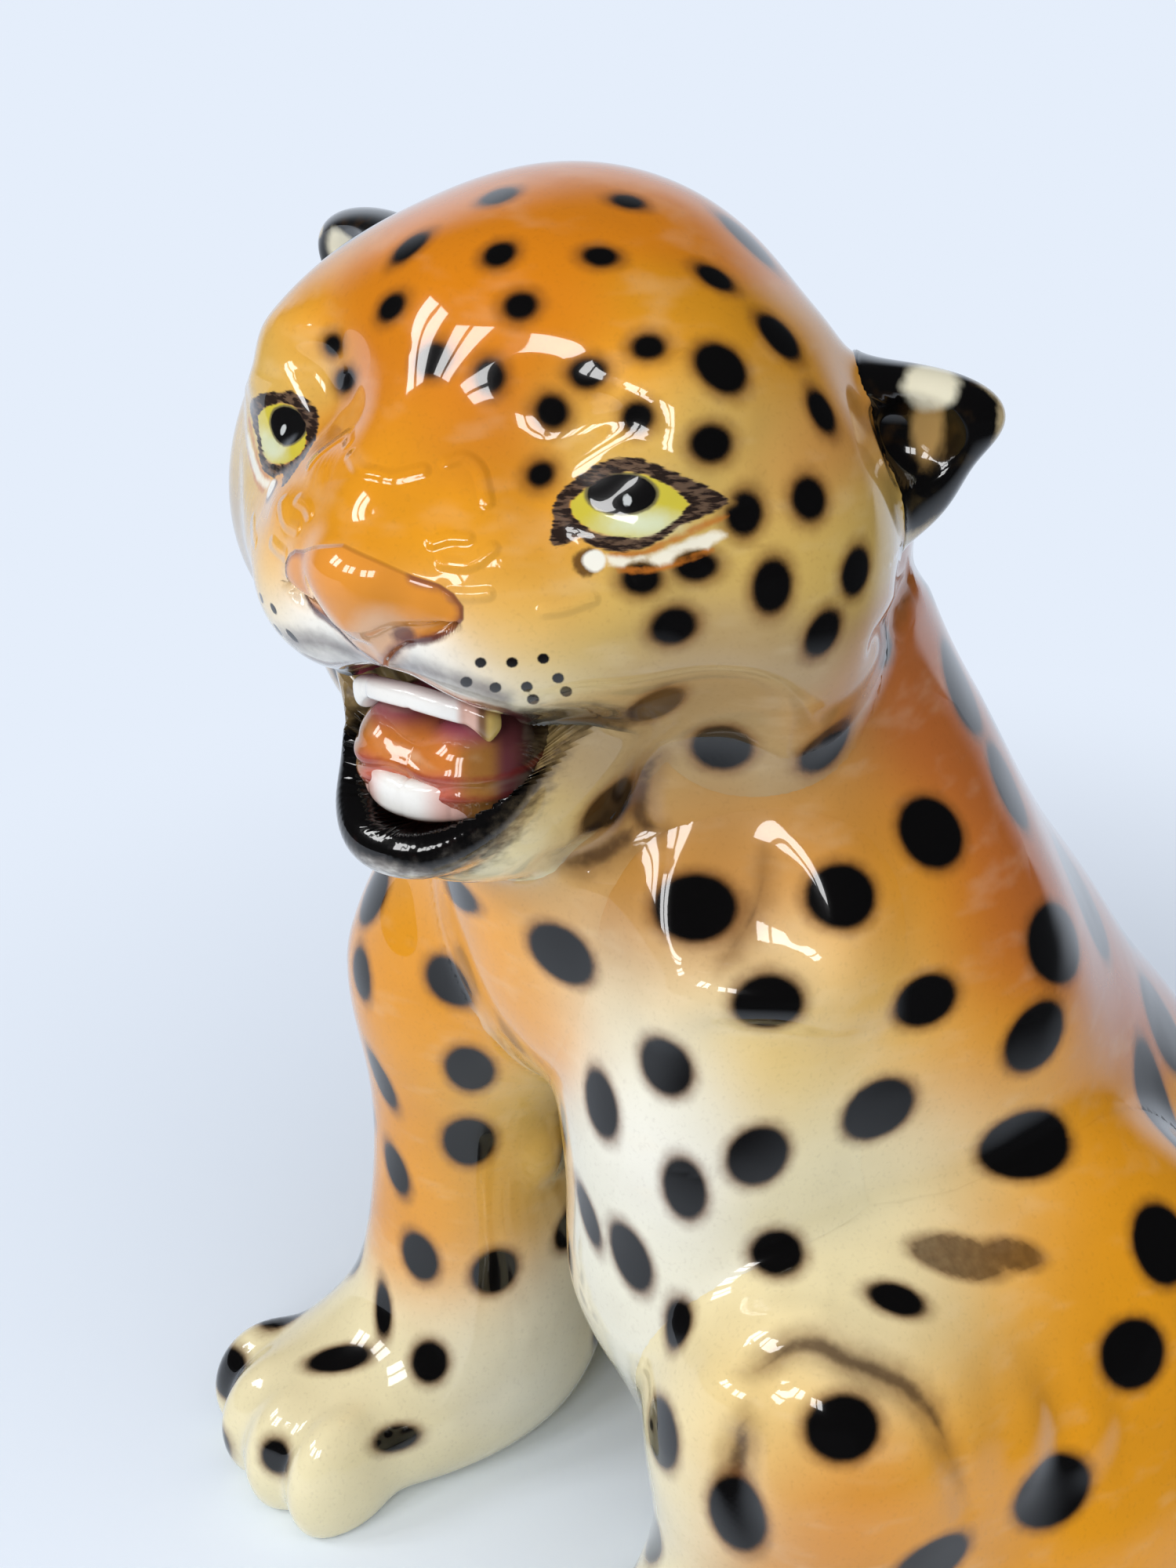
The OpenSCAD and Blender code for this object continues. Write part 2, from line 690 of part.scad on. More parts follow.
hind_levels = [-2, 1, 4, 7, 10, 13, 16, 20, 24, 28, 33, 38, 43, 48, 53, 58, 63, 68];

hind_hollow_levels = [wall, 9, 14, 20, 27, 34, 41, 48, 55, 62];

// A hind leg is folded: its foot is flat on the table and its thigh lies against the body
module hind_leg(thigh_at, knee_at, heel_at, toes_at, own, neighbours) {
    knots = [
        [-2, (heel_at.x + toes_at.x) / 2, (heel_at.y + toes_at.y) / 2],
        [44, (knee_at.x + thigh_at.x) / 2, (knee_at.y + thigh_at.y) / 2],
        [68, (knee_at.x + thigh_at.x) / 2, (knee_at.y + thigh_at.y) / 2]
    ];
    color(ochre)
        difference() {
            standing_casting(knots, hind_levels, 5, 28, own, neighbours);
            standing_casting(knots, hind_hollow_levels, 2, 14, own, neighbours, wall);
            below_table();
            leg_air(thigh_at);
        }
}

module left_hind_leg() {
    hind_leg(left_thigh_at, left_knee_at, left_heel_at, left_toes_at, left_hind_clay,
        [body_clay, left_arm_clay]);
}

module right_hind_leg() {
    hind_leg(right_thigh_at, right_knee_at, right_heel_low, right_toes_at, right_hind_clay,
        [body_clay, tail_clay]);
}

// The tail's rays leave its middle line square to its run
module tail() {
    rings = 28;
    n = 14;
    rays = [for (i = [0 : rings])
        let (
            u = i / rings,
            run = tail_point(min(1, u + 0.01)) - tail_point(max(0, u - 0.01)),
            along = run / norm(run),
            flat = [-along.y, along.x, 0] / norm([along.x, along.y]),
            rise = cross(along, flat)
        )
        [for (j = [0 : n - 1]) [tail_point(u), cos(360 * j / n) * flat + sin(360 * j / n) * rise]]];
    points = [for (ring = rays)
        [for (ray = ring) skin_point(ray, tail_clay, [body_clay, right_hind_clay], [], 0)]];
    ends = [for (e = [[0, 0.02], [1, 0.98]])
        let (run = tail_point(e[0]) - tail_point(e[1]), ray = [tail_point(e[0]), run / norm(run)])
        [for (j = [1 : n]) skin_point(ray, tail_clay, [body_clay], [], 0)]];
    color(ochre)
        difference() {
            closed_skin(concat([ends[0]], points, [ends[1]]));
            below_table();
        }
}

body();
head();
lower_jaw();
tongue();
upper_teeth();
lower_teeth();
left_ear();
right_ear();
left_foreleg();
right_foreleg();
left_hind_leg();
right_hind_leg();
tail();
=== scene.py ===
# %% [markdown]
# # A sitting leopard cub in glazed porcelain
# The real figure is cast from liquid clay in several moulds. The castings are joined while the clay is
# soft, the joints are smoothed away with a wet brush, the cub is painted by airbrush and by hand, and a
# clear glossy glaze is fired over the paint. This lesson follows the same order: clay, joints, paint, glaze.

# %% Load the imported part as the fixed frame
import bpy
import numpy as np
from mathutils import Matrix


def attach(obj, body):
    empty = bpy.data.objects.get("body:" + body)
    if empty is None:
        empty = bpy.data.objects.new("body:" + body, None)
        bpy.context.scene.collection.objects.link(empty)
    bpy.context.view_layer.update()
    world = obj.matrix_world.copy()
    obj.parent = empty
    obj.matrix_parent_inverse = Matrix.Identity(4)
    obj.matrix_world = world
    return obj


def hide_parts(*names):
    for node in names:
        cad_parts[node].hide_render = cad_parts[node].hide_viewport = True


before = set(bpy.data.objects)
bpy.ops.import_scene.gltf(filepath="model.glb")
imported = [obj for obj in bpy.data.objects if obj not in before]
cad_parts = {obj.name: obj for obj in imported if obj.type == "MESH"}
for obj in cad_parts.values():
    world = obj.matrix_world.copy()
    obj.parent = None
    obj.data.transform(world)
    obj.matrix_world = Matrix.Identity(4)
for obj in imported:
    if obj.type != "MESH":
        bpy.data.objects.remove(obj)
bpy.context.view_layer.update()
MM = 0.001
print("pieces in the frame:", sorted(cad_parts))

# %% [markdown]
# ## Clay that melts together
# A sculptor presses lumps of clay onto each other. Each lump here is a formula for the distance to its
# skin, negative inside: an egg, or a round-ended bar. A soft minimum joins the lumps, so that the skin
# flows from one into the next, and a soft maximum carves one shape out of another. Boolean modifiers
# would leave sharp edges, which porcelain never has.

# %% Directions and turns
FLIP = np.array([-1, 1, 1])


def unit(v):
    """The same directions, each one long: v / |v|."""
    return v / np.maximum(np.linalg.norm(v, axis=-1, keepdims=True), 1e-9)


def dots(a, b):
    """Dot product of each row of a with the same row of b."""
    return np.einsum("...i,...i", a, b)


def steepest(depth, p, step):
    """Direction in which a depth grows fastest, from its differences over one step along x, y and z."""
    return unit(np.stack([depth(p + s) - depth(p - s) for s in np.eye(3) * step], -1))


def turned(rx=0.0, ry=0.0, rz=0.0):
    """Matrix of a turn about X, then Y, then Z, in degrees."""
    a, b, c = np.radians([rx, ry, rz])
    x = np.array([[1, 0, 0], [0, np.cos(a), -np.sin(a)], [0, np.sin(a), np.cos(a)]])
    y = np.array([[np.cos(b), 0, np.sin(b)], [0, 1, 0], [-np.sin(b), 0, np.cos(b)]])
    z = np.array([[np.cos(c), -np.sin(c), 0], [np.sin(c), np.cos(c), 0], [0, 0, 1]])
    return z @ y @ x


print("a quarter turn about Z takes x to", np.round(turned(rz=90) @ [1, 0, 0], 3))

# %% Lumps, and how they join
def egg(p, at, r, turn=None):
    """Distance to an egg: with a = |q / r| and b = |q / r^2| it is a (a - 1) / b."""
    q = p - np.asarray(at, float)
    if turn is not None:
        q = q @ turn
    s = q / np.asarray(r, float)
    a = np.sqrt(dots(s, s))
    s = s / np.asarray(r, float)
    b = np.sqrt(dots(s, s))
    return a * (a - 1) / np.maximum(b, 1e-6)


def bar(p, a, b, ra, rb):
    """Distance to a round-ended bar: that to the line from a to b, less a radius that runs from ra to rb."""
    a = np.asarray(a, float)
    run = np.asarray(b, float) - a
    v = p - a
    h = np.clip(v @ run / (run @ run), 0, 1)
    v = v - h[..., None] * run
    return np.sqrt(dots(v, v)) - ra - (rb - ra) * h


def eased(knots, n=4):
    """A smooth line through the knots: between two of them, a cubic whose slopes come from their neighbours."""
    k = np.asarray(knots, float)
    slope = np.gradient(k, axis=0)
    u = np.linspace(0, 1, n, endpoint=False)[:, None, None]
    a, b, da, db = k[:-1], k[1:], slope[:-1], slope[1:]
    line = ((2 * u**3 - 3 * u**2 + 1) * a + (u**3 - 2 * u**2 + u) * da
            + (3 * u**2 - 2 * u**3) * b + (u**3 - u**2) * db)
    return np.concatenate([line.transpose(1, 0, 2).reshape(-1, k.shape[1]), k[-1:]])


AWAY = 60.0
THIN_ROPE, THIN_REACH, WIDE_REACH = 6, 9, 16


def rope(p, knots, radii):
    """Distance to a rope: the least distance to the short bars of the smooth line through the knots.
    Points more than 9 mm outside a thin rope's box, or 16 mm and the radius outside a wide one's,
    are far away."""
    line = eased(np.column_stack([knots, radii]), 6)
    reach = THIN_REACH if np.max(radii) < THIN_ROPE else WIDE_REACH + np.max(radii)
    far = np.full(p.shape[:-1], AWAY)
    close = np.all((p > line[:, :3].min(0) - reach) & (p < line[:, :3].max(0) + reach), axis=-1)
    if close.any():
        q = p[close]
        pairs = zip(line[:-1], line[1:])
        far[close] = np.minimum.reduce([bar(q, a[:3], b[:3], a[3], b[3]) for a, b in pairs])
    return far


def melt(k, *depths):
    """Soft minimum over the length k: least - k ln(sum of exp((least - d) / k))."""
    least = np.minimum.reduce(depths)
    return least - k * np.log(sum(np.exp((least - d) / k) for d in depths))


def carve(a, b, k):
    """Soft maximum of a and -b, which cuts b out of a with a rim rounded over the length k."""
    return -melt(k, -a, b)


egg_gap = egg(np.array([[0.0, 0.0, 12.0]]), (0, 0, 0), (10, 10, 10))
print("an egg of radius 10 is", round(egg_gap[0], 3), "mm away at 12 mm")

# %% [markdown]
# ## The head
# The head is turned to the cub's left, so its lumps are given in the head's own frame: x to the cub's
# left, y backwards, z up, in millimetres from a point level with the eyes. The lumps on the two sides
# are the same, so most are worked out once on the folded place (|x|, y, z).

# %% Skull, cheeks, muzzle, eyes and nose
HEAD_AT = np.array([0.0, -80.0, 197.0])
HEAD_TURN = turned(rz=33)


def in_head(p):
    """Place in the head's own frame."""
    return (p - HEAD_AT) @ HEAD_TURN


def from_head(q):
    """Place in the figure's frame of a point given in the head's frame."""
    return np.asarray(q, float) @ HEAD_TURN.T + HEAD_AT


def folded(q):
    """The same place on the cub's left half: (|x|, y, z)."""
    return np.concatenate([np.abs(q[..., :1]), q[..., 1:]], -1)


EYE_AT = np.array([25.2, -18.8, -5.2])
EYE_ALONG = unit(np.array([0.87, 0.42, 0.26]))
EYE_OUT = unit(np.cross(EYE_ALONG, np.cross([0.45, -0.87, 0.15], EYE_ALONG)))
EYE_FRAME = np.stack([EYE_ALONG, EYE_OUT, np.cross(EYE_ALONG, EYE_OUT)], 1)


def head_base(p):
    """The head's large lumps, which melt over 5 mm."""
    q = in_head(p)
    f = folded(q)
    g = f * FLIP
    return melt(5,
                egg(q, (0, 10.4, 2.1), (30.6, 23.8, 25.3)),
                egg(q, (0, -5.4, 10.6), (28.1, 18.1, 12.6)),
                egg(f, (38.5, 0, -20), (11.7, 17.4, 21.5)),
                egg(f, (30.5, -1.6, 4), (6.5, 18, 7)),
                egg(f, (25, -6, -20), (14, 21, 18)),
                egg(f, (27, 9, -48), (16, 17, 13)),
                egg(q, (0, -24, -14), (19, 15, 13)),
                egg(f, (12.5, -28.6, -22.0), (11.5, 10.6, 10.4)),
                egg(g, (12.5, -28.6, -22.0), (11.5, 10.6, 10.4)),
                bar(q, (0, -15.5, 6.6), (0, -36.1, -7.2), 8.3, 1.5))


def laid(knots, sink):
    """Knots moved along the head's normal until they lie sink mm below its skin."""
    p = from_head(knots)
    for _ in range(5):
        p = p - steepest(head_base, p, 0.2) * (head_base(p) + sink)[:, None]
    return in_head(p)


LID_SINK, FOLD_SINK = 0.7, 2.2
INNER_CORNER, OUTER_CORNER = (17.2, -25.5, -9.8), (38, -14.5, -3.2)
BROW = laid([(15.5, -27, 2.5), (21, -25, 8.5), (29, -20, 9.0), (36.5, -13, 3.5)], 2.4), [2.6, 3.6, 3.6, 2.6]
UPPER_LID = laid([INNER_CORNER, (19.5, -25.5, -3.0), (26.5, -23, 2.2), (32.5, -19, 0.6), OUTER_CORNER],
                 LID_SINK), [1.0, 1.5, 1.7, 1.5, 0.9]
LOWER_LID = laid([INNER_CORNER, (21, -24.5, -12.2), (26, -22, -11.8), (32, -19, -8.6), OUTER_CORNER],
                 LID_SINK), [1.0, 1.4, 1.5, 1.4, 0.9]
BAG = laid([(22.5, -25, -16.5), (29, -21.5, -15.5), (36, -16.5, -10.5)], FOLD_SINK), [1.8, 2.9, 2.0]
SNOUT_FOLDS = [
    (laid([(9.0, -36.5, -2.0), (12.5, -33.5, -4.5), (17.0, -29.5, -3.0)], FOLD_SINK), [1.6, 2.6, 1.6]),
    (laid([(13.5, -37.5, -10.0), (16.5, -34.5, -11.4), (20.5, -31.0, -11.0)], FOLD_SINK), [1.6, 2.7, 1.6]),
    (laid([(23.0, -32.0, -18.0), (27.0, -27.6, -19.0), (31.0, -22.6, -18.4)], FOLD_SINK), [1.6, 2.7, 1.6]),
]
NOSTRIL = ([(3.2, -44.0, -22.4), (6.4, -43.8, -21.0), (10.4, -42.0, -19.8), (13.0, -39.4, -18.0)],
           [0.7, 1.2, 1.0, 0.5])


RELIEF_BACK, RELIEF_TOP, RELIEF_LOW = -4, 22, -44


def face_relief(p, d):
    """Adds the eyes, the lids, the nose and the folds of the snout to the head's depth d, on the face only."""
    q = in_head(p)
    near = (q[..., 1] < RELIEF_BACK) & (q[..., 2] < RELIEF_TOP) & (q[..., 2] > RELIEF_LOW)
    if not near.any():
        return d
    q, e = q[near], d[near]
    f = folded(q)
    e = melt(1.6, e, egg(f, EYE_AT, (11.5, 6.2, 6.4), EYE_FRAME))
    for ridge in (BROW, UPPER_LID, LOWER_LID, BAG):
        e = melt(0.8, e, rope(f, *ridge))
    nose = melt(1.6,
                egg(q, (0, -38.2, -13.8), (8.8, 9.4, 6.4)),
                egg(f, (8.8, -37.4, -15.8), (4.4, 5.2, 4.4)),
                bar(q, (0, -41.0, -18.5), (0, -37.4, -26), 4.4, 2.0))
    e = melt(1.0, e, nose)
    e = carve(e, rope(f, *NOSTRIL), 0.6)
    e = carve(e, bar(q, (0, -43.0, -24.5), (0, -39.4, -30), 0.8, 1.2), 0.8)
    for fold in SNOUT_FOLDS:
        e = melt(0.9, e, rope(f, *fold))
    out = d.copy()
    out[near] = e
    return out


def head_clay(p):
    """The head with its face."""
    return face_relief(p, head_base(p))


print("the head's middle is", round(-float(head_clay(HEAD_AT[None])[0]), 1), "mm under its skin")

# %% [markdown]
# ## Jaw, mouth and ears
# The mouth is an egg carved out of head and jaw together, and the lower lip is a rope of clay laid along
# the rim. Each ear is three flat eggs, a lobe over a root, with a shallow hollow scooped from the front.

# %% Jaw, mouth and ears
MOUTH_AT, MOUTH_R = (0, -37, -41.5), (15.5, 25, 12)
LIP_SIDE = np.array([(4, -36.8, -53.2), (8, -33.6, -51.4), (11.2, -28.8, -47.4), (13.4, -25.2, -41.6),
                     (14.6, -23.6, -35.5)])
LIP = np.concatenate([LIP_SIDE[::-1] * FLIP, [(0, -37.6, -53.6)], LIP_SIDE])
LIP_R = [2.0, 2.6, 3.0, 3.5, 3.9, 4.0, 3.9, 3.5, 3.0, 2.6, 2.0]


def jaw_clay(p):
    """Chin, two jaw bones and the flesh at the mouth's corners, melted over 4 mm, with the lip on its rim."""
    q = in_head(p)
    f = folded(q)
    g = f * FLIP
    d = melt(4,
             egg(q, (0, -20.5, -54.5), (12.5, 15.5, 9)),
             bar(f, (8, -20, -51.5), (19, 0, -34), 7.5, 13),
             bar(g, (8, -20, -51.5), (19, 0, -34), 7.5, 13),
             egg(f, (15, -13, -38), (6.5, 11, 9)))
    return melt(1.5, d, rope(q, LIP, LIP_R))


def mouth_hollow(p):
    """The open mouth."""
    return egg(in_head(p), MOUTH_AT, MOUTH_R)


EARS = {"left_ear": 1, "right_ear": -1}
EAR_AT = {1: np.array([43.6, 20.0, -5.6]), -1: np.array([-45.0, 20.0, 5.5])}
EAR_TURN = {side: turned(rz=20 * side, ry=-6 * side) for side in EARS.values()}


def in_ear(p, side):
    """Place in an ear's own frame, with x outwards on both sides."""
    return (in_head(p) - EAR_AT[side]) @ EAR_TURN[side] * np.array([side, 1, 1])


def ear_clay(p, side):
    """A broad lobe over a narrow root, turned away from the face, less a flat egg scooped from its front."""
    q = in_ear(p, side)
    lobe = melt(3.0,
                egg(q, (1.8, 0, 3.0), (12.0, 5.4, 6.0)),
                egg(q, (-3.5, 0, -3.0), (11.0, 5.6, 10.5)),
                egg(q, (-9.5, -0.5, -4.0), (7.5, 6.0, 11.5)))
    return carve(lobe, egg(q, (-1.0, -7.6, 1.4), (11.2, 6.4, 7.0)), 1.0)


print("the mouth opens", 2 * MOUTH_R[2], "mm and the lip is", 2 * LIP_R[5], "mm thick")

# %% [markdown]
# ## Trunk, legs and tail
# The trunk sits back on the rump. The straight forelegs carry the shoulders, the hind legs are folded
# with their feet flat on the table, and the tail lies round the right haunch. Toes are eggs pressed onto
# the front of each paw, with a groove between each pair.

# %% Trunk and legs
def trunk_clay(p):
    """Neck, ribs, belly, rump and breast, melted over 8 mm."""
    return melt(8,
                bar(p, (0, -57, 170), (0, -50, 138), 31.0, 32.5),
                egg(p, (0, -38, 114), (36, 33, 42), turned(rx=25)),
                egg(p, (0, -20, 78), (41, 40, 44)),
                egg(p, (0, 0, 42), (49, 49, 50)),
                egg(p, (31, -38, 98), (18, 27, 34)),
                egg(p, (-31, -38, 98), (18, 27, 34)),
                egg(p, (0, -72, 120), (26, 22, 34)))


def toes(p, d, at, r, turn):
    """Four toes on a paw: eggs side by side across its front, the outer two set back and spread by 7 degrees
    each, melted over 1.8 mm, so that grooves stay between. The paw's half sizes r give theirs."""
    parts = [d]
    for k in (-1.5, -0.5, 0.5, 1.5):
        ahead = r[1] * (0.72 - 0.05 * k * k)
        place = np.array(at) + turned(rz=turn) @ np.array([k * r[0] * 0.47, -ahead, -0.12 * r[2]])
        parts.append(egg(p, place, (r[0] * 0.30, r[1] * 0.36, r[2] * 0.74), turned(rz=turn + 7 * k)))
    return melt(1.8, *parts)


def right_foreleg_clay(p):
    """Upper arm, forearm, elbow, heel and paw, melted over 6 mm, with toes."""
    d = melt(6,
             bar(p, (-25, -72, 124), (-25, -84, 94), 20, 16.5),
             bar(p, (-25, -84, 94), (-24, -89, 22), 16.5, 14),
             egg(p, (-25, -73, 88), (14, 14, 14)),
             egg(p, (-23, -80, 26), (14, 18, 26)),
             egg(p, (-23, -102, 11), (18.5, 27, 16), turned(rz=8)))
    return toes(p, d, (-23, -102, 11), (20, 29, 17), 8)


def left_foreleg_clay(p):
    """The same on the left, where the paw stands under the shoulder."""
    d = melt(6,
             bar(p, (28, -61, 124), (27, -66, 94), 22, 17.5),
             bar(p, (27, -66, 94), (28, -66.5, 66), 17.5, 17),
             bar(p, (28, -66.5, 66), (32, -56, 20), 17, 15),
             egg(p, (27, -56, 88), (14, 14, 14)),
             egg(p, (33, -50, 11), (15, 19, 12)))
    return toes(p, d, (33, -50, 11), (15.5, 21, 12.5), 0)


def left_hind_clay(p):
    """Thigh, knee, shin and foot, melted over 8 mm, with toes."""
    d = melt(8,
             egg(p, (44, -22, 49), (26, 42, 38), turned(rz=-8)),
             egg(p, (50, -22, 18), (35, 44, 39)),
             egg(p, (57, -62, 56), (18, 22, 19)),
             bar(p, (57, -62, 56), (61, -66, 13), 17.5, 14.5),
             bar(p, (50, -14, 13), (61, -66, 13), 14, 14),
             egg(p, (62, -79, 11), (16, 25, 12)))
    return toes(p, d, (62, -79, 11), (17, 26, 12.5), 0)


def right_hind_clay(p):
    """The same on the right."""
    d = melt(8,
             egg(p, (-40, -14, 46), (24, 40, 36), turned(rz=8)),
             egg(p, (-46, -40, 52), (18, 22, 18)),
             bar(p, (-46, -40, 52), (-46, -44, 13), 17.5, 14.5),
             bar(p, (-40, 4, 13), (-46, -44, 13), 14, 14),
             egg(p, (-46, -53, 11), (15, 21, 12)))
    return toes(p, d, (-46, -53, 11), (16, 22, 12.5), 0)


def tail_line(u):
    """The tail's middle line and radius for u from 0 at the root to 1 at the tip."""
    angle = np.radians(72 + 144 * u)
    away = 45 - 7 * np.maximum(0, 1 - 5 * u) ** 2 + 29 * u ** 1.5
    r = 9.5 - 2 * u
    up = r - 1 + 12 * np.maximum(0, 1 - 4 * u) ** 2
    return np.stack([away * np.cos(angle), away * np.sin(angle), up], -1), r


def tail_clay(p):
    """A rope along the tail's middle line."""
    line, r = tail_line(np.linspace(0, 1, 25))
    return rope(p, line, r)


CLAY = {
    "body": trunk_clay, "head": head_clay, "lower_jaw": jaw_clay,
    "left_ear": lambda p: ear_clay(p, 1), "right_ear": lambda p: ear_clay(p, -1),
    "left_foreleg": left_foreleg_clay, "right_foreleg": right_foreleg_clay,
    "left_hind_leg": left_hind_clay, "right_hind_leg": right_hind_clay, "tail": tail_clay,
}
EVERY = list(CLAY)
print("castings:", EVERY)

# %% [markdown]
# ## Joints smoothed with a wet brush
# All castings together make one skin: the soft minimum of their depths, with the mouth carved out and the
# table as its lowest plane. A piece owns the part of that skin where its own clay is deepest. Elsewhere
# its depth is raised by how much a neighbour is deeper, so the piece dives under the neighbour, and the
# two meet in an invisible seam, as on the fired figure.

# %% The whole skin, and one piece's share of it
SOFT = {"left_ear": 2.0, "right_ear": 2.0, "head": 2.5, "lower_jaw": 2.5, "tail": 1.5}
LIMB_SOFT, MOUTH_SOFT, LIP_SOFT, TABLE_SOFT = 3.0, 0.8, 1.0, 0.5
NEIGHBOURS = {
    "body": ["head", "lower_jaw", "left_foreleg", "right_foreleg", "left_hind_leg", "right_hind_leg", "tail"],
    "head": ["lower_jaw", "body", "left_ear", "right_ear"],
    "lower_jaw": ["head", "body"],
    "left_ear": ["head"], "right_ear": ["head"],
    "left_foreleg": ["body", "left_hind_leg"], "right_foreleg": ["body"],
    "left_hind_leg": ["body", "left_foreleg"], "right_hind_leg": ["body", "tail"],
    "tail": ["body", "right_hind_leg"],
}
FOLDS = []


def creased(p, skin, names):
    """The skin with each fold of the named castings pressed on or drawn in, worked out near the fold only."""
    for sign, node, line, radii, soft in FOLDS:
        reach = radii[0] + 6 * soft
        close = np.all((p > line.min(0) - reach) & (p < line.max(0) + reach), axis=-1)
        if node in names and close.any():
            d = rope(p[close], line, radii)
            skin[close] = melt(soft, skin[close], d) if sign > 0 else carve(skin[close], d, soft)
    return skin


def whole_depth(p, names):
    """Soft minimum of the named castings, least soft at the tail and the ears, with folds, mouth and table cut.
    Also gives each casting's own depth."""
    d = {n: CLAY[n](p) for n in names}
    limbs = [d[n] for n in names if n not in SOFT]
    skin = melt(LIMB_SOFT, *limbs) if limbs else None
    for n in names:
        if n in SOFT:
            skin = d[n] if skin is None else melt(SOFT[n], skin, d[n])
    skin = creased(p, skin.copy(), names)
    if "head" in names or "lower_jaw" in names:
        skin = carve(skin, mouth_hollow(p), MOUTH_SOFT)
        if "lower_jaw" in names:
            skin = melt(LIP_SOFT, skin, rope(in_head(p), LIP, LIP_R))
    return carve(skin, p[..., 2], TABLE_SOFT), d


def piece_depth(p, own):
    """Depth in one casting: the whole skin, raised where a neighbour is deeper than the casting itself."""
    skin, d = whole_depth(p, [own] + NEIGHBOURS[own])
    rival = np.minimum.reduce([d[n] for n in NEIGHBOURS[own]])
    return skin + np.maximum(0, d[own] - rival)


def skin_normal(p, names, step=0.15):
    """Direction in which the depth under the whole skin of the named castings grows fastest."""
    return steepest(lambda q: whole_depth(q, names)[0], p, step)


probe = np.array([HEAD_AT, [0.0, 0.0, 42.0]])
print("depth in the head's middle and in the rump:", np.round(whole_depth(probe, EVERY)[0], 1))

# %% [markdown]
# ## The camera
# The photograph was taken from close by, at the cub's front left and a little above its head. The camera
# is worked out from three facts: the direction it looks along, the length of its lens in pixels of a
# 1500 x 2000 frame, and the pixel at which the head's middle appears. The same numbers turn a pixel into
# a ray, so that a painted spot can be put down where the photograph shows it.

# %% Camera, and rays through its pixels
FRAME_W, FRAME_H = 1500, 2000
LENS_PX = 2705.7
VIEW_AZ, VIEW_EL, VIEW_DEPTH = np.radians(66), np.radians(26), 290.0
HEAD_PX = (700, 493)
back = np.array([np.sin(VIEW_AZ) * np.cos(VIEW_EL), -np.cos(VIEW_AZ) * np.cos(VIEW_EL), np.sin(VIEW_EL)])
right = np.array([np.cos(VIEW_AZ), np.sin(VIEW_AZ), 0.0])
above = np.cross(back, right)
lens_at = (HEAD_AT + back * VIEW_DEPTH
           - right * (HEAD_PX[0] - FRAME_W / 2) / LENS_PX * VIEW_DEPTH
           + above * (HEAD_PX[1] - FRAME_H / 2) / LENS_PX * VIEW_DEPTH)
WALK_FROM, WALK_STEPS, WALK_SHARE = 110.0, 90, 0.8


def through(px):
    """Directions of the rays through pixels: sideways and upward parts over the lens, and one forward."""
    return (px[:, :1] - FRAME_W / 2) / LENS_PX * right - (px[:, 1:2] - FRAME_H / 2) / LENS_PX * above - back


def to_pixel(p):
    """Pixel of a point: its sideways and upward parts over its depth, times the lens."""
    v = p - lens_at
    deep = -(v @ back)
    return np.stack([FRAME_W / 2 + LENS_PX * (v @ right) / deep,
                     FRAME_H / 2 - LENS_PX * (v @ above) / deep], -1)


def touch(pixels, names):
    """Points where the rays through the pixels first meet the skin: walk on by 0.8 of the depth."""
    way = unit(through(np.asarray(pixels, float)))
    t = np.full(len(way), WALK_FROM)
    for _ in range(WALK_STEPS):
        t = t + np.clip(WALK_SHARE * whole_depth(lens_at + t[:, None] * way, names)[0], -2, 40)
    return lens_at + t[:, None] * way


head_px = np.round(to_pixel(HEAD_AT[None])[0], 1)
print("lens at", np.round(lens_at, 1), "mm; the head's middle is at pixel", head_px)

# %% [markdown]
# ## Folds
# Soft skin wrinkles where limbs meet the trunk. A sculptor presses a thin rope of clay on for a ridge and
# draws a round tool along for a crease. Both are given here as pixels of the photograph that their line
# runs through, with the radius of the rope or tool and how far it stands out or goes in, in millimetres.
# The widest tool makes the valley in front of the shoulder, and the lines of the narrow ones later get a brown
# wash that also darkens them as painted shade.

# %% Ridges and creases
RIDGES = [
    ("left_foreleg", [(846, 1304), (866, 1289), (900, 1278), (944, 1283), (1006, 1288), (1072, 1295),
                      (1110, 1290)], 4.5, 0.9),
    ("left_hind_leg", [(970, 1694), (1020, 1687), (1078, 1706)], 5.0, 1.0),
    ("left_hind_leg", [(900, 1762), (930, 1770), (966, 1792)], 5.5, 1.3),
    ("left_hind_leg", [(1024, 1760), (1050, 1782), (1070, 1812)], 6.0, 1.5),
    ("right_foreleg", [(690, 1458), (699, 1472), (700, 1486)], 5.0, 2.0),
    ("left_hind_leg", [(1300, 1780), (1312, 1830), (1306, 1880)], 6.0, 1.0),
    ("left_hind_leg", [(1372, 1760), (1392, 1810), (1388, 1850)], 6.0, 1.0),
]
CREASES = [
    ("body", [(944, 1106), (952, 1156), (965, 1206), (984, 1254)], 18.0, 6.2),
    ("head", [(861, 949), (835, 970), (820, 994), (814, 1021), (818, 1046), (836, 1058),
              (866, 1062)], 2.4, 1.5),
    ("lower_jaw", [(702, 1098), (737, 1097), (770, 1087), (799, 1067), (818, 1054)], 2.2, 1.3),
    ("body", [(970, 1060), (974, 1090), (972, 1127), (961, 1165), (943, 1196), (922, 1230),
              (908, 1256)], 2.6, 1.0),
    ("left_hind_leg", [(931, 1750), (964, 1748), (987, 1731), (1019, 1716), (1051, 1719), (1083, 1736),
                       (1120, 1751), (1161, 1774), (1193, 1811), (1212, 1862), (1236, 1920)], 2.6, 0.9),
    ("left_hind_leg", [(958, 1786), (948, 1830), (941, 1878), (950, 1930), (978, 1990)], 3.4, 1.2),
    ("body", [(1178, 690), (1164, 740), (1142, 788), (1120, 816)], 2.4, 0.7),
]


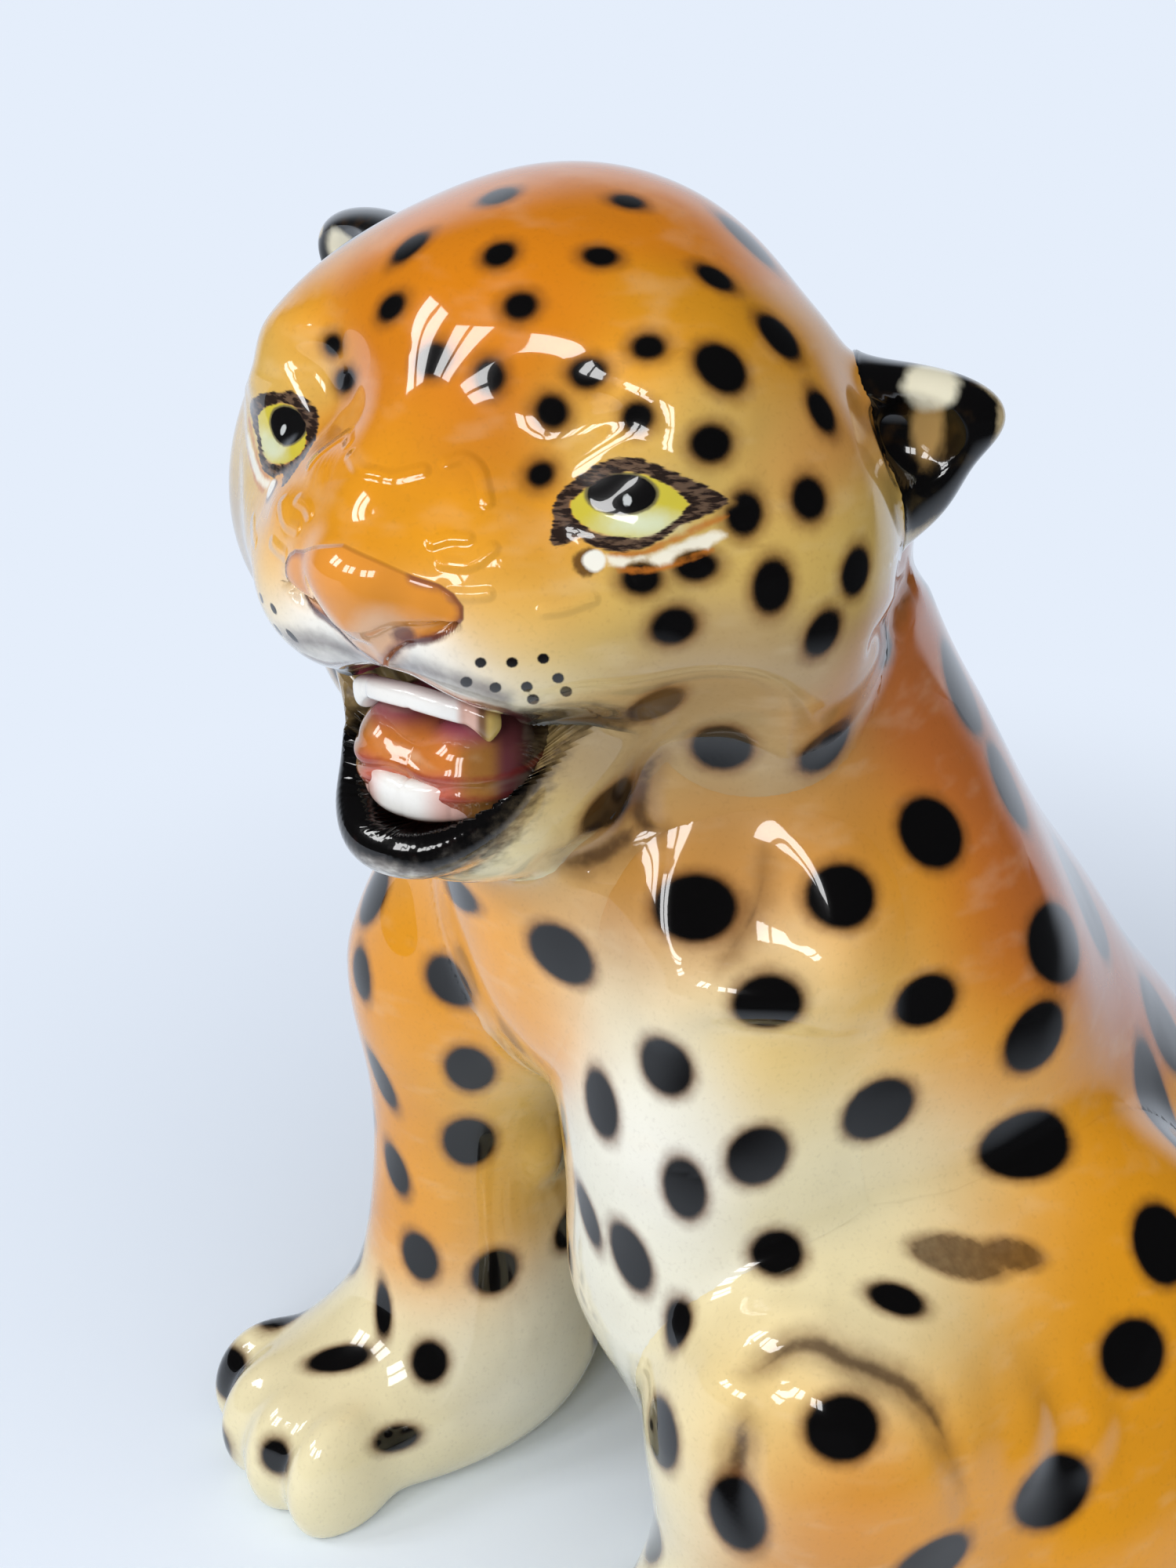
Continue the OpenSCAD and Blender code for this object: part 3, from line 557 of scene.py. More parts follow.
WIDE_TOOL, NARROW_SOFT, WIDE_SOFT = 8, 1.0, 2.2


def press(rows, sign):
    """Lines on the clay with radii and offsets that fade toward both ends: a ridge's rope is sunk by its radius
    less its height, a crease's tool is held off by its radius less its depth."""
    made = []
    for node, knots, radius, rise in rows:
        at = touch(eased(knots, 2), EVERY)
        out = skin_normal(at, EVERY, 0.8)
        fade = np.sqrt(np.sin(np.linspace(0.04, 0.96, len(at)) * np.pi))
        middle = at - sign * out * (radius - rise * (1.5 * fade - 0.5))[:, None]
        soft = NARROW_SOFT if radius < WIDE_TOOL else WIDE_SOFT
        made.append((sign, node, middle, radius * np.ones(len(at)), soft))
    return made


FOLDS.extend(press(CREASES, -1) + press(RIDGES, 1))
# The narrow creases' lines carry painted shade and a brown wash, fading towards both ends and paler on the
# trunk.
CREASE_SHADE_FADE, PALER_ON_BODY = 3.5, 1.2
CREASE_LINES = []
for node, knots, radius, _ in CREASES:
    if radius < WIDE_TOOL:
        line = touch(eased(knots, 3), EVERY)
        ends = CREASE_SHADE_FADE * (1 - np.sin(np.linspace(0, 1, len(line)) * np.pi)) ** 2
        CREASE_LINES.append((line, -ends - (PALER_ON_BODY if node == "body" else 0)))
print(len(RIDGES), "ridges and", len(CREASES), "creases, the deepest", max(row[3] for row in CREASES), "mm")

# %% Set the camera
SENSOR = 24.0
lens = bpy.data.cameras.new("lens")
lens.sensor_fit = "VERTICAL"
lens.sensor_height = SENSOR
lens.lens = SENSOR * LENS_PX / FRAME_H
lens.clip_start = 0.01
camera = bpy.data.objects.new("camera", lens)
bpy.context.scene.collection.objects.link(camera)
pose = np.eye(4)
pose[:3, 0], pose[:3, 1], pose[:3, 2], pose[:3, 3] = right, above, back, lens_at * MM
camera.matrix_world = Matrix(pose.tolist())
bpy.context.scene.camera = camera
print("lens of", round(lens.lens, 2), "mm on a sensor", SENSOR, "mm high")

# %% [markdown]
# ## Growing a skin
# A piece's surface is a function of two numbers: which ray, counted along the piece, and which ray, counted
# round it. Every ray starts on a line in the middle of the clay and walks outwards until the depth is zero.
# That gives even quads without any modelling by hand. The normals are taken from the depth itself and not
# from the quads, so two castings shade alike on both sides of a joint, and the glaze reflects without a break.

# %% Rays that leave a point or a line
def star_rays(middle, axis, side, n_along, n_round, crowd=1.0):
    """Rays from one point: polar angle 180 u^crowd from the axis, and a full turn round it."""
    axis, side = unit(np.asarray(axis, float)), np.asarray(side, float)
    side = unit(side - (side @ axis) * axis)
    other = np.cross(axis, side)
    tilt = np.pi * np.linspace(0, 1, n_along)[:, None, None] ** crowd
    turn = np.linspace(0, 2 * np.pi, n_round, endpoint=False)[None, :, None]
    way = np.cos(tilt) * axis + np.sin(tilt) * (np.cos(turn) * side + np.sin(turn) * other)
    return np.broadcast_to(np.asarray(middle, float), way.shape), way


def line_rays(knots, side, n_along, n_round, caps, axes=None):
    """Rays round a smooth line through the knots, with a fan of rays over each end. The rings are square to the
    line, or, where a bend would make them cross, to axes given at even places from its start to its end."""
    dense = eased(knots, 30)
    run = np.concatenate([[0], np.cumsum(np.linalg.norm(np.diff(dense, axis=0), axis=1))])
    middle = np.linspace(0, run[-1], n_along - 2 * caps)
    line = np.stack([np.interp(middle, run, part) for part in dense.T], -1)
    axis = np.gradient(line, axis=0)
    if axes is not None:
        place = np.linspace(0, len(axes) - 1, len(line))
        axis = np.stack([np.interp(place, np.arange(len(axes)), part) for part in np.array(axes, float).T], -1)
    axis = unit(axis)
    lean = np.concatenate([np.linspace(-np.pi / 2, 0, caps, endpoint=False), np.zeros(len(line)),
                           np.linspace(np.pi / 2, 0, caps, endpoint=False)[::-1]])
    pick = np.concatenate([np.zeros(caps, int), np.arange(len(line)), np.full(caps, len(line) - 1)])
    line, axis = line[pick], axis[pick]
    first = unit(side - (axis @ np.asarray(side, float))[:, None] * axis)[:, None]
    second = np.cross(axis[:, None], first)
    turn = np.linspace(0, 2 * np.pi, n_round, endpoint=False)[None, :, None]
    lean = lean[:, None, None]
    way = np.cos(lean) * (np.cos(turn) * first + np.sin(turn) * second) + np.sin(lean) * axis[:, None]
    return np.broadcast_to(line[:, None], way.shape), way


START, LEAST = 0.5, 0.2
FIRST_STEPS, LAST_STEPS = [0.9] * 14 + [0.4] * 6, [0.9] * 3 + [0.45] * 5


def walked(core, way, t, depth, steps):
    """Walk along rays: t <- t - step x depth, and never less than 0.2 mm."""
    for step in steps:
        t = np.maximum(LEAST, t - step * depth(core + t[..., None] * way))
    return t


def grown(rays, depth):
    """Points where rays leave the clay: walk every third ray first, read the others between them, then walk
    all. The last steps are shorter, since the depth is steep where a piece dives under another."""
    core, way = rays
    rows = np.unique(np.append(np.arange(0, core.shape[0], 3), core.shape[0] - 1))
    cols = np.arange(0, core.shape[1], 3)
    t = walked(core[rows][:, cols], way[rows][:, cols], np.full((len(rows), len(cols)), START), depth,
               FIRST_STEPS)
    wrapped = np.concatenate([t, t[:, :1]], 1)
    whole = np.arange(core.shape[1])
    t = np.stack([np.interp(whole, np.append(cols, core.shape[1]), row) for row in wrapped])
    t = np.stack([np.interp(np.arange(core.shape[0]), rows, col) for col in t.T], 1)
    return core + walked(core, way, t, depth, LAST_STEPS)[..., None] * way


print("a star of 3 x 4 rays:", star_rays((0, 0, 0), (0, 0, 1), (1, 0, 0), 3, 4)[1].shape)

# %% From a grid of points to a mesh
skins = {}


def poled(grid):
    """The grid's rows as one list, with one point, a pole, for the first row and for the last."""
    return np.concatenate([grid[:1, 0], grid[1:-1].reshape(-1, 3), grid[-1:, 0]])


def grid_mesh(name, grid, normals=None):
    """A closed mesh from rows of points: quads between the rows, and triangles round the two poles."""
    n, m = grid.shape[:2]
    points = poled(grid)
    i = np.arange(n - 3)[:, None] * m + 1
    j = np.arange(m)[None]
    k = (j + 1) % m
    quads = np.stack([i + j, i + k, i + m + k, i + m + j], -1).reshape(-1, 4)
    j, k, last = j[0], k[0], len(points) - 1
    low = np.stack([np.zeros(m, int), k + 1, j + 1], -1)
    high = np.stack([np.full(m, last), last - m + j, last - m + k], -1)
    a, b, c = points[quads[:, 0]], points[quads[:, 1]], points[quads[:, 2]]
    if dots(np.cross(b - a, c - a), a - points.mean(0)).sum() < 0:
        quads, low, high = quads[:, ::-1], low[:, ::-1], high[:, ::-1]
    mesh = bpy.data.meshes.new(name)
    mesh.from_pydata((points * MM).tolist(), [], low.tolist() + quads.tolist() + high.tolist())
    mesh.shade_smooth()
    if normals is not None:
        mesh.normals_split_custom_set_from_vertices(poled(normals).tolist())
    piece = bpy.data.objects.new(name, mesh)
    bpy.context.scene.collection.objects.link(piece)
    return piece, points


def lay_skin(node, grid, normals=None):
    """Make a piece's mesh, and keep its object, points and normals for the painter."""
    piece, points = grid_mesh(node + "_glazed", grid, normals)
    skins[node] = {"at": points, "out": None if normals is None else poled(normals), "piece": piece}
    print(node, len(points), "points,", np.round(points.min(0), 1), "to", np.round(points.max(0), 1), "mm")


def cast_piece(node, rays):
    """Grow one casting's skin, with normals from the whole field."""
    grid = grown(rays, lambda p: piece_depth(p, node))
    lay_skin(node, grid, skin_normal(grid, [node] + NEIGHBOURS[node]))


FINE = 1.0


def fine(n):
    """Number of rays: all of them, or half while trying things out."""
    return int(n * FINE)


# %% [markdown]
# ## Head, jaw and ears
# The head's rays leave a point behind the face. Their axis runs to the tip of the nose and the rings crowd
# towards it, so that eyes, nose and lips get the finest quads and the plain back of the head the widest.

# %% Cast the head's pieces
X, UP = (1, 0, 0), (0, 0, 1)
cast_piece("head", star_rays(from_head((0, -9, -7)), HEAD_TURN @ np.array([0, -1, -0.3]), UP,
                             fine(240), fine(400), 1.35))
cast_piece("lower_jaw", star_rays(from_head((0, -19, -56)), HEAD_TURN @ np.array([0, -1, 0.25]), UP,
                                  fine(130), fine(240), 1.15))
for ear, side in EARS.items():
    ear_front = HEAD_TURN @ EAR_TURN[side] @ np.array([0, -1, 0])
    cast_piece(ear, star_rays(from_head(EAR_AT[side]) - ear_front * 2.0, ear_front, UP, fine(110), fine(170)))

# %% [markdown]
# ## Trunk, legs and tail
# These are longer than wide, so their rays leave a line: up the trunk, down a foreleg and forward through
# its paw, along the tail. A folded hind leg is compact enough for a star.

# %% Cast the trunk, the legs and the tail
cast_piece("body", line_rays([(0, 0, 5), (0, -3, 30), (0, -16, 70), (0, -36, 108), (0, -52, 140),
                              (0, -60, 164)], X, fine(210), fine(300), fine(30), [UP, UP]))
cast_piece("right_foreleg", line_rays([(-25, -72, 126), (-25, -80, 100), (-24.5, -85, 70), (-24, -85, 46),
                                       (-23.5, -88, 28), (-23, -96, 16), (-23, -104, 12)],
                                      X, fine(230), fine(200), fine(40),
                                      [(0, -0.2, -1), (0, -0.15, -1), (0, -0.75, -0.65)]))
cast_piece("left_foreleg", line_rays([(28, -61, 126), (27, -65, 100), (28, -65, 70), (30, -60, 44),
                                      (32, -55, 24), (33, -53, 12)], X, fine(220), fine(190), fine(30),
                                     [(0, 0.1, -1), (0, 0.15, -1), (0, -0.1, -1)]))
cast_piece("left_hind_leg", star_rays((54, -42, 36), (0, -1, -0.35), UP, fine(190), fine(300)))
cast_piece("right_hind_leg", star_rays((-44, -26, 34), (0, -1, -0.3), UP, fine(180), fine(280)))
cast_piece("tail", line_rays(tail_line(np.linspace(0, 1, 13))[0], UP, fine(230), fine(64), fine(14)))

# %% [markdown]
# ## Tongue and teeth
# The tongue is a pressed pad that nearly fills the mouth. The teeth are two rolled strips of clay, nicked
# with a wire where one tooth ends and the next begins. A strip is a rounded profile carried along an arch.

# %% Press the tongue
RIPPLE_Z = -45.5


def tongue_ripple(q):
    """Waves up the tongue, in the head's frame, that wander from side to side: sin(1.9 z + 0.8 sin(0.55 x))."""
    return np.sin(q[..., 2] * 1.9 + 0.8 * np.sin(q[..., 0] * 0.55))


def tongue_depth(p):
    """A wide egg with a groove along its back and a few wrinkles across its front."""
    q = in_head(p)
    d = melt(2.5,
             egg(q, (0, -21.0, -44.8), (11.6, 13.0, 8.0)),
             egg(folded(q), (6.4, -26.5, -45.4), (5.0, 7.6, 7.2)))
    d = carve(d, bar(q, (0, -40, -38.6), (0, -12, -35.6), 1.0, 1.2), 1.6)
    ripple = tongue_ripple(q) * np.exp(-((q[..., 2] - RIPPLE_Z) / 2.6) ** 2)
    return d + 0.32 * ripple * np.clip((-27 - q[..., 1]) / 4, 0, 1)


grid = grown(star_rays(from_head((0, -21, -45)), HEAD_TURN @ np.array([0, -1, 0.2]), UP, fine(90), fine(140)),
             tongue_depth)
lay_skin("tongue", grid, steepest(tongue_depth, grid, 0.12))

# %% Roll the teeth
ARCH, ARCH_RINGS, PROFILE_POINTS = 1.35, 220, 36
NICK, NICK_WIDTH = 0.07, 0.22
FANG_AT, FANG_WIDTH = 1.02, 0.18


def squarish(c):
    """A cosine or sine made squarer: its sign times its size to the power 0.75."""
    return np.sign(c) * np.abs(c) ** 0.75


def tooth_strip(half_width, front, bend, top, drop, tall, deep, teeth, canine):
    """A strip along an arch x = w sin s, y = front + bend |sin s|^2.4, z = top - drop sin^2 s, in the head's
    frame. Round it runs a rounded profile, nicked where two teeth meet and longer at the eye teeth."""
    s = np.linspace(-ARCH, ARCH, ARCH_RINGS)[:, None]
    v = np.linspace(0, 2 * np.pi, PROFILE_POINTS, endpoint=False)[None]
    a = np.abs(np.sin(s))
    path = np.concatenate([half_width * np.sin(s), front + bend * a**2.4, top - drop * a**2], 1)
    run = unit(np.gradient(path, axis=0) * [1, 1, 0])
    ahead = np.stack([run[:, 1], -run[:, 0], run[:, 2]], 1)
    nick = 1 - NICK * np.exp(-(np.sin(s * teeth) / NICK_WIDTH) ** 2)
    fang = canine * np.exp(-((np.abs(s) - FANG_AT) / FANG_WIDTH) ** 2)
    end = np.sqrt(np.clip(1 - (np.abs(s) / (ARCH + 0.001)) ** 14, 0, 1))
    across = deep * (nick + 0.35 * fang / max(tall, 1)) * end * squarish(np.cos(v))
    up = tall * end * squarish(np.sin(v))
    low = np.where(np.sin(v) < 0, nick * (1 + fang / tall), 1.0)
    return path[:, None] + across[..., None] * ahead[:, None] + (up * low)[..., None] * np.array([0, 0, 1.0])


def lay_strip(node, grid):
    """Put a strip given in the head's frame on the figure, with poles at its two ends."""
    grid = from_head(grid)
    grid[0], grid[-1] = grid[0].mean(0), grid[-1].mean(0)
    lay_skin(node, grid)


lay_strip("upper_teeth", tooth_strip(11.6, -32.8, 4.6, -34.2, 2.4, 1.6, 1.6, 4.4, 1.7))
lower = tooth_strip(8.6, -34.8, 4.0, 48.2, 0.8, 2.9, 1.7, 4.0, 0.2)
lower[..., 2] *= -1
lay_strip("lower_teeth", lower[:, ::-1])

# %% [markdown]
# ## The painter's first coat
# The colours are sprayed: deep amber on crown and snout, russet down the back, gold on the flanks, straw
# and sand on the cheeks, cream and milk on chest, paws and muzzle. Each puff of the airbrush is a colour at a
# pixel of the photograph, carried to the clay by the camera's ray, and the colour of a point is the mean of
# all puffs, weighted by exp(-distance^2 / (2 width^2)). The unseen side gets the same puffs mirrored.

# %% Palette
PALETTE = {
    "amber": (206, 122, 20), "honey": (215, 141, 30), "ochre": (200, 136, 28), "straw": (204, 170, 92),
    "sand": (176, 148, 102), "cream": (232, 220, 178), "milk": (226, 222, 202), "russet": (184, 102, 46),
    "gold": (230, 154, 28), "wheat": (230, 192, 106), "tan": (190, 132, 66), "pearl": (236, 233, 224),
    "rust": (206, 118, 34),
}


def linear(r, g, b):
    """Linear colour of an 8-bit display colour."""
    c = np.array([r, g, b], float) / 255
    return np.where(c <= 0.04045, c / 12.92, ((c + 0.055) / 1.055) ** 2.4)


print(len(PALETTE), "colours of glaze")

# %% Puffs seen in the photograph: middle in pixels, and colour
FACE_PUFFS = [
    (700, 232, "amber"), (720, 290, "amber"), (850, 300, "amber"), (590, 400, "amber"), (720, 420, "amber"),
    (850, 390, "ochre"), (960, 450, "ochre"), (960, 545, "straw"), (1010, 580, "tan"), (770, 555, "straw"),
    (860, 560, "straw"), (560, 590, "honey"), (500, 640, "honey"), (600, 560, "rust"), (640, 620, "honey"),
    (640, 700, "ochre"), (380, 430, "gold"), (345, 660, "gold"), (330, 720, "wheat"), (400, 640, "gold"),
    (660, 790, "wheat"), (680, 750, "honey"), (770, 770, "straw"), (930, 690, "straw"), (930, 830, "sand"),
    (880, 890, "sand"), (1010, 870, "sand"), (1050, 700, "straw"), (610, 868, "pearl"), (690, 880, "cream"),
    (540, 850, "pearl"), (800, 860, "sand"), (740, 850, "straw"), (960, 930, "sand"), (1070, 900, "tan"),
]
JAW_PUFFS = [
    (720, 1050, "straw"), (600, 1112, "cream"), (540, 1110, "pearl"), (770, 990, "sand"), (690, 1085, "cream"),
]
NAPE_PUFFS = [
    (870, 1010, "sand"), (1010, 1010, "sand"), (900, 1082, "tan"), (1080, 1040, "tan"), (1160, 930, "russet"),
    (1200, 960, "russet"),
]
# The tan puffs on the breast under the chin are darker partly as painted shade.
TRUNK_PUFFS = NAPE_PUFFS + [
    (1260, 1080, "russet"), (1300, 1150, "russet"), (1420, 1280, "russet"), (1130, 1120, "honey"),
    (560, 1190, "gold"), (650, 1180, "gold"), (500, 1150, "honey"), (740, 1150, "ochre"),
    (820, 1190, "tan"), (790, 1180, "tan"), (840, 1120, "ochre"), (940, 1130, "tan"), (1050, 1070, "honey"),
    (1150, 1150, "gold"), (1110, 1220, "gold"), (760, 1250, "cream"), (700, 1270, "gold"),
    (780, 1320, "milk"), (840, 1250, "cream"), (1040, 1230, "cream"), (1250, 1200, "rust"),
    (1250, 1380, "gold"), (1400, 1400, "gold"), (1200, 1520, "cream"), (1100, 1490, "cream"),
    (1400, 1550, "gold"), (1380, 1660, "gold"), (1300, 1600, "gold"), (1470, 1680, "gold"),
    (1180, 1340, "gold"), (1120, 1270, "wheat"), (1150, 1440, "cream"), (1250, 1510, "wheat"),
    (1180, 1570, "cream"), (1290, 1540, "gold"), (1150, 1600, "cream"),
]
ARM_PUFFS = [
    (1000, 1360, "wheat"), (1110, 1340, "wheat"), (880, 1420, "milk"), (830, 1470, "pearl"),
    (900, 1620, "milk"), (780, 1650, "milk"), (1020, 1540, "cream"), (770, 1490, "milk"),
    (1060, 1420, "cream"),
]
FAR_LEG_PUFFS = [
    (540, 1320, "gold"), (460, 1200, "honey"), (540, 1430, "honey"), (540, 1560, "honey"), (660, 1400, "wheat"),
    (660, 1540, "wheat"), (690, 1640, "milk"), (600, 1690, "cream"), (400, 1720, "cream"), (330, 1790, "cream"),
    (450, 1890, "cream"), (640, 1740, "milk"), (690, 1470, "wheat"), (480, 1800, "cream"), (640, 1320, "gold"),
    (510, 1260, "honey"), (600, 1520, "gold"), (600, 1600, "gold"),
]
HAUNCH_PUFFS = [
    (1200, 1750, "wheat"), (1090, 1700, "cream"), (1150, 1660, "cream"), (1260, 1650, "wheat"),
    (1250, 1830, "gold"), (1250, 1900, "gold"), (1420, 1850, "gold"), (1000, 1700, "cream"),
    (880, 1760, "cream"), (880, 1880, "cream"), (1120, 1930, "gold"), (1000, 1950, "tan"),
    (1420, 1950, "gold"), (1300, 1790, "gold"), (1000, 1830, "wheat"), (1060, 1890, "rust"),
    (960, 1780, "wheat"), (1350, 1680, "gold"),
]


def puffs(rows, mirror=None):
    """Places and colours of the puffs, on both sides where a mirror is given."""
    at = touch([row[:2] for row in rows], EVERY)
    colour = np.array([linear(*PALETTE[row[2]]) for row in rows])
    if mirror is not None:
        at, colour = np.concatenate([at, mirror(at)]), np.concatenate([colour, colour])
    return at, colour


def mirror_head(p):
    """The same place on the head's other side."""
    return from_head(in_head(p) * FLIP)


def mirror_trunk(p):
    """The same place on the trunk's other side."""
    return p * FLIP


face, jaw = puffs(FACE_PUFFS, mirror_head), puffs(JAW_PUFFS, mirror_head)
trunk, haunch = puffs(TRUNK_PUFFS, mirror_trunk), puffs(HAUNCH_PUFFS, mirror_trunk)
arm, far_leg = puffs(ARM_PUFFS), puffs(FAR_LEG_PUFFS)
print(len(face[0]), "puffs on the face and", len(trunk[0]), "on the trunk, both sides counted")

# %% Puffs that the camera doesn't see: place in millimetres, and colour
def placed(rows, to_figure=np.asarray):
    """Puffs at places given in millimetres, for what the camera doesn't see."""
    at = to_figure(np.array([row[:3] for row in rows], float))
    return at, np.array([linear(*PALETTE[row[3]]) for row in rows])


unseen_head = placed([
    (0, 42, 8, "amber"), (26, 34, 4, "ochre"), (-26, 34, 4, "ochre"), (0, 38, -16, "russet"),
    (0, 22, 26, "amber"),
], from_head)
unseen_trunk = placed([
    (0, 12, 125, "russet"), (0, 34, 95, "russet"), (0, 47, 60, "russet"), (0, 50, 30, "gold"),
    (-45, 20, 60, "gold"), (45, 20, 60, "gold"), (0, -95, 90, "milk"), (0, -80, 60, "milk"),
    (-20, 42, 20, "gold"), (20, 42, 20, "gold"), (0, -30, 160, "russet"), (0, -50, 30, "cream"),
])
unseen_legs = placed([
    (-25, -60, 120, "gold"), (-40, -80, 100, "gold"), (-38, -85, 60, "gold"), (-36, -88, 30, "wheat"),
    (-23, -70, 20, "cream"), (-8, -100, 5, "cream"), (40, -40, 40, "cream"), (15, -60, 60, "milk"),
    (32, -75, 12, "milk"), (32, -40, 8, "milk"),
])
unseen_feet = placed([
    (62, -100, 10, "cream"), (62, -90, 18, "cream"), (70, -50, 12, "wheat"), (60, 5, 40, "gold"),
    (52, 5, 10, "wheat"), (-46, -74, 10, "cream"), (-46, -62, 18, "cream"), (-60, -30, 12, "wheat"),
    (-50, 15, 40, "gold"), (-66, -20, 60, "gold"), (-50, -58, 56, "cream"), (-44, -30, 80, "wheat"),
])
unseen_tail = placed([
    (0, 50, 20, "russet"), (-30, 52, 10, "gold"), (-60, 30, 14, "ochre"), (-72, -10, 14, "gold"),
    (-62, -44, 12, "wheat"), (-60, 30, 2, "cream"), (-72, -10, 2, "cream"),
])
print(len(unseen_trunk[0]), "more on the trunk and", len(unseen_feet[0]), "on the hind legs")

# %% Spray the coats
def sprayed(p, sets, width):
    """Mean colour of all puffs, weighted by exp(-distance^2 / (2 width^2))."""
    at = np.concatenate([s[0] for s in sets])
    colour = np.concatenate([s[1] for s in sets])
    gap = ((p[:, None, :] - at[None]) ** 2).sum(-1)
    gap = gap - gap.min(1, keepdims=True)
    weight = np.exp(-gap / (2 * width**2))
    return (weight @ colour) / weight.sum(1, keepdims=True)


COATS = {
    "head": ([face, jaw, unseen_head, puffs(NAPE_PUFFS)], 5.0), "lower_jaw": ([face, jaw], 4.0),
    "left_ear": ([face, unseen_head], 6.0), "right_ear": ([face, unseen_head], 6.0),
    "body": ([trunk, jaw, arm, far_leg, haunch, unseen_trunk], 8.0),
    "left_foreleg": ([arm, trunk, unseen_legs], 7.0), "right_foreleg": ([far_leg, trunk, unseen_legs], 8.0),
    "left_hind_leg": ([haunch, trunk, unseen_feet], 8.0), "right_hind_leg": ([haunch, trunk, unseen_feet], 8.0),
    "tail": ([unseen_tail], 9.0),
}
for node, (sets, width) in COATS.items():
    skins[node]["coat"] = sprayed(skins[node]["at"], sets, width)
    print(node, "mean coat", np.round(skins[node]["coat"].mean(0), 2))

# %% [markdown]
# ## Spots
# Each spot is one press of the airbrush, a dark oval with a brown haze round it. The seen ones stand at
# their pixels of the photograph, with half their width and height. A ray finds the middle on the clay, and
# the oval is laid on the clay's tangent plane there, leaned a little towards the lens. One spot was wiped
# while wet, and only its haze is left. The rest of the coat is filled with ovals thrown at random, from a
# fixed seed, where no other spot is near. Every mesh point then keeps its distance to the nearest oval's
# edge.

# %% Spots seen in the photograph: middle, half width, half height, in pixels
CROWN_SPOTS = [
    (636, 250, 20, 14), (801, 257, 19, 11), (954, 306, 18, 24), (523, 315, 18, 17), (637, 324, 19, 17),
    (766, 327, 21, 14), (912, 354, 21, 16), (499, 392, 18, 16), (664, 390, 20, 17), (994, 429, 24, 26),
    (425, 440, 13, 12), (441, 485, 16, 14), (552, 459, 22, 20), (625, 480, 18, 20), (827, 443, 20, 16),
    (750, 476, 23, 18), (920, 469, 32, 32), (704, 525, 20, 20),
]
CHEEK_SPOTS = [
    (813, 532, 20, 18), (907, 566, 26, 23), (1048, 525, 17, 26), (690, 605, 16, 16), (949, 655, 22, 27),
    (1032, 636, 22, 27), (818, 738, 24, 19), (888, 722, 26, 18), (859, 799, 28, 23), (985, 748, 24, 34),
    (1092, 729, 20, 30), (1050, 808, 22, 28), (1127, 820, 18, 30), (837, 899, 30, 26), (921, 952, 38, 30),
    (1055, 952, 28, 30), (776, 1030, 26, 32),
]
BACK_SPOTS = [
    (1225, 876, 26, 50), (1285, 1002, 22, 44), (1188, 1062, 44, 44), (1075, 1143, 44, 40),
    (887, 1158, 52, 42), (716, 1217, 42, 36), (1349, 1203, 46, 50), (1381, 1143, 30, 50),
    (980, 1281, 44, 34), (1180, 1276, 40, 32), (1322, 1322, 42, 42), (1483, 1306, 30, 50),
    (1308, 1459, 62, 42), (1483, 1427, 30, 60), (1483, 1587, 40, 50),
]
FAR_LEG_SPOTS = [
    (476, 1140, 22, 34), (582, 1137, 32, 18), (460, 1242, 14, 32), (575, 1252, 30, 30), (486, 1376, 12, 30),
    (599, 1364, 30, 30), (505, 1491, 14, 30), (598, 1456, 32, 32), (535, 1603, 22, 30), (631, 1622, 28, 28),
    (548, 1737, 22, 26), (489, 1670, 10, 34), (416, 1641, 34, 12), (362, 1679, 26, 13), (291, 1753, 26, 34),
    (432, 1733, 40, 16), (352, 1858, 18, 22), (505, 1835, 28, 16),
]
FLANK_SPOTS = [
    (849, 1360, 32, 36), (766, 1408, 22, 42), (1120, 1415, 44, 38), (967, 1475, 38, 38), (873, 1517, 26, 40),
    (750, 1550, 12, 36), (804, 1603, 24, 42), (991, 1598, 32, 28), (1144, 1657, 34, 20),
    (865, 1689, 18, 30), (1445, 1727, 44, 44), (842, 1828, 26, 44), (1076, 1823, 46, 42), (1340, 1902, 50, 46),
    (833, 1957, 22, 34), (941, 1931, 36, 50), (1190, 1992, 44, 30),
]
WIPED_SPOTS = [(1222, 1603, 54, 25), (1290, 1600, 34, 17)]
LEAN, GRAZING = 0.35, 0.35


def seen_spots(rows):
    """Middle, two half axes and normal of each oval: rays through its rim meet the tangent plane of its middle.
    A ray that grazes the plane counts as steeper, so that no oval gets endlessly long."""
    rows = np.array(rows, float)
    at = touch(rows[:, :2], EVERY)
    out = unit(skin_normal(at, EVERY, 2.0) + LEAN * unit(lens_at - at))

    def on_plane(px):
        way = through(px)
        slant = np.minimum(dots(way, out), -GRAZING * np.linalg.norm(way, axis=1))
        return lens_at + way * (dots(at - lens_at, out) / slant)[:, None]

    middle = on_plane(rows[:, :2])
    rims = [on_plane(rows[:, :2] + rows[:, 2:3] * [1, 0]), on_plane(rows[:, :2] + rows[:, 3:4] * [0, 1])]
    wide, tall = [rim - middle - dots(rim - middle, out)[:, None] * out for rim in rims]
    return at, wide, tall, out


seen = [np.concatenate(part) for part in zip(*[seen_spots(rows) for rows in
        (CROWN_SPOTS, CHEEK_SPOTS, BACK_SPOTS, FAR_LEG_SPOTS, FLANK_SPOTS, WIPED_SPOTS)])]
sizes = np.sqrt(np.linalg.norm(np.cross(seen[1], seen[2]), axis=1))
print(len(sizes), "seen spots, from", round(sizes.min(), 1), "to", round(sizes.max(), 1), "mm half size")

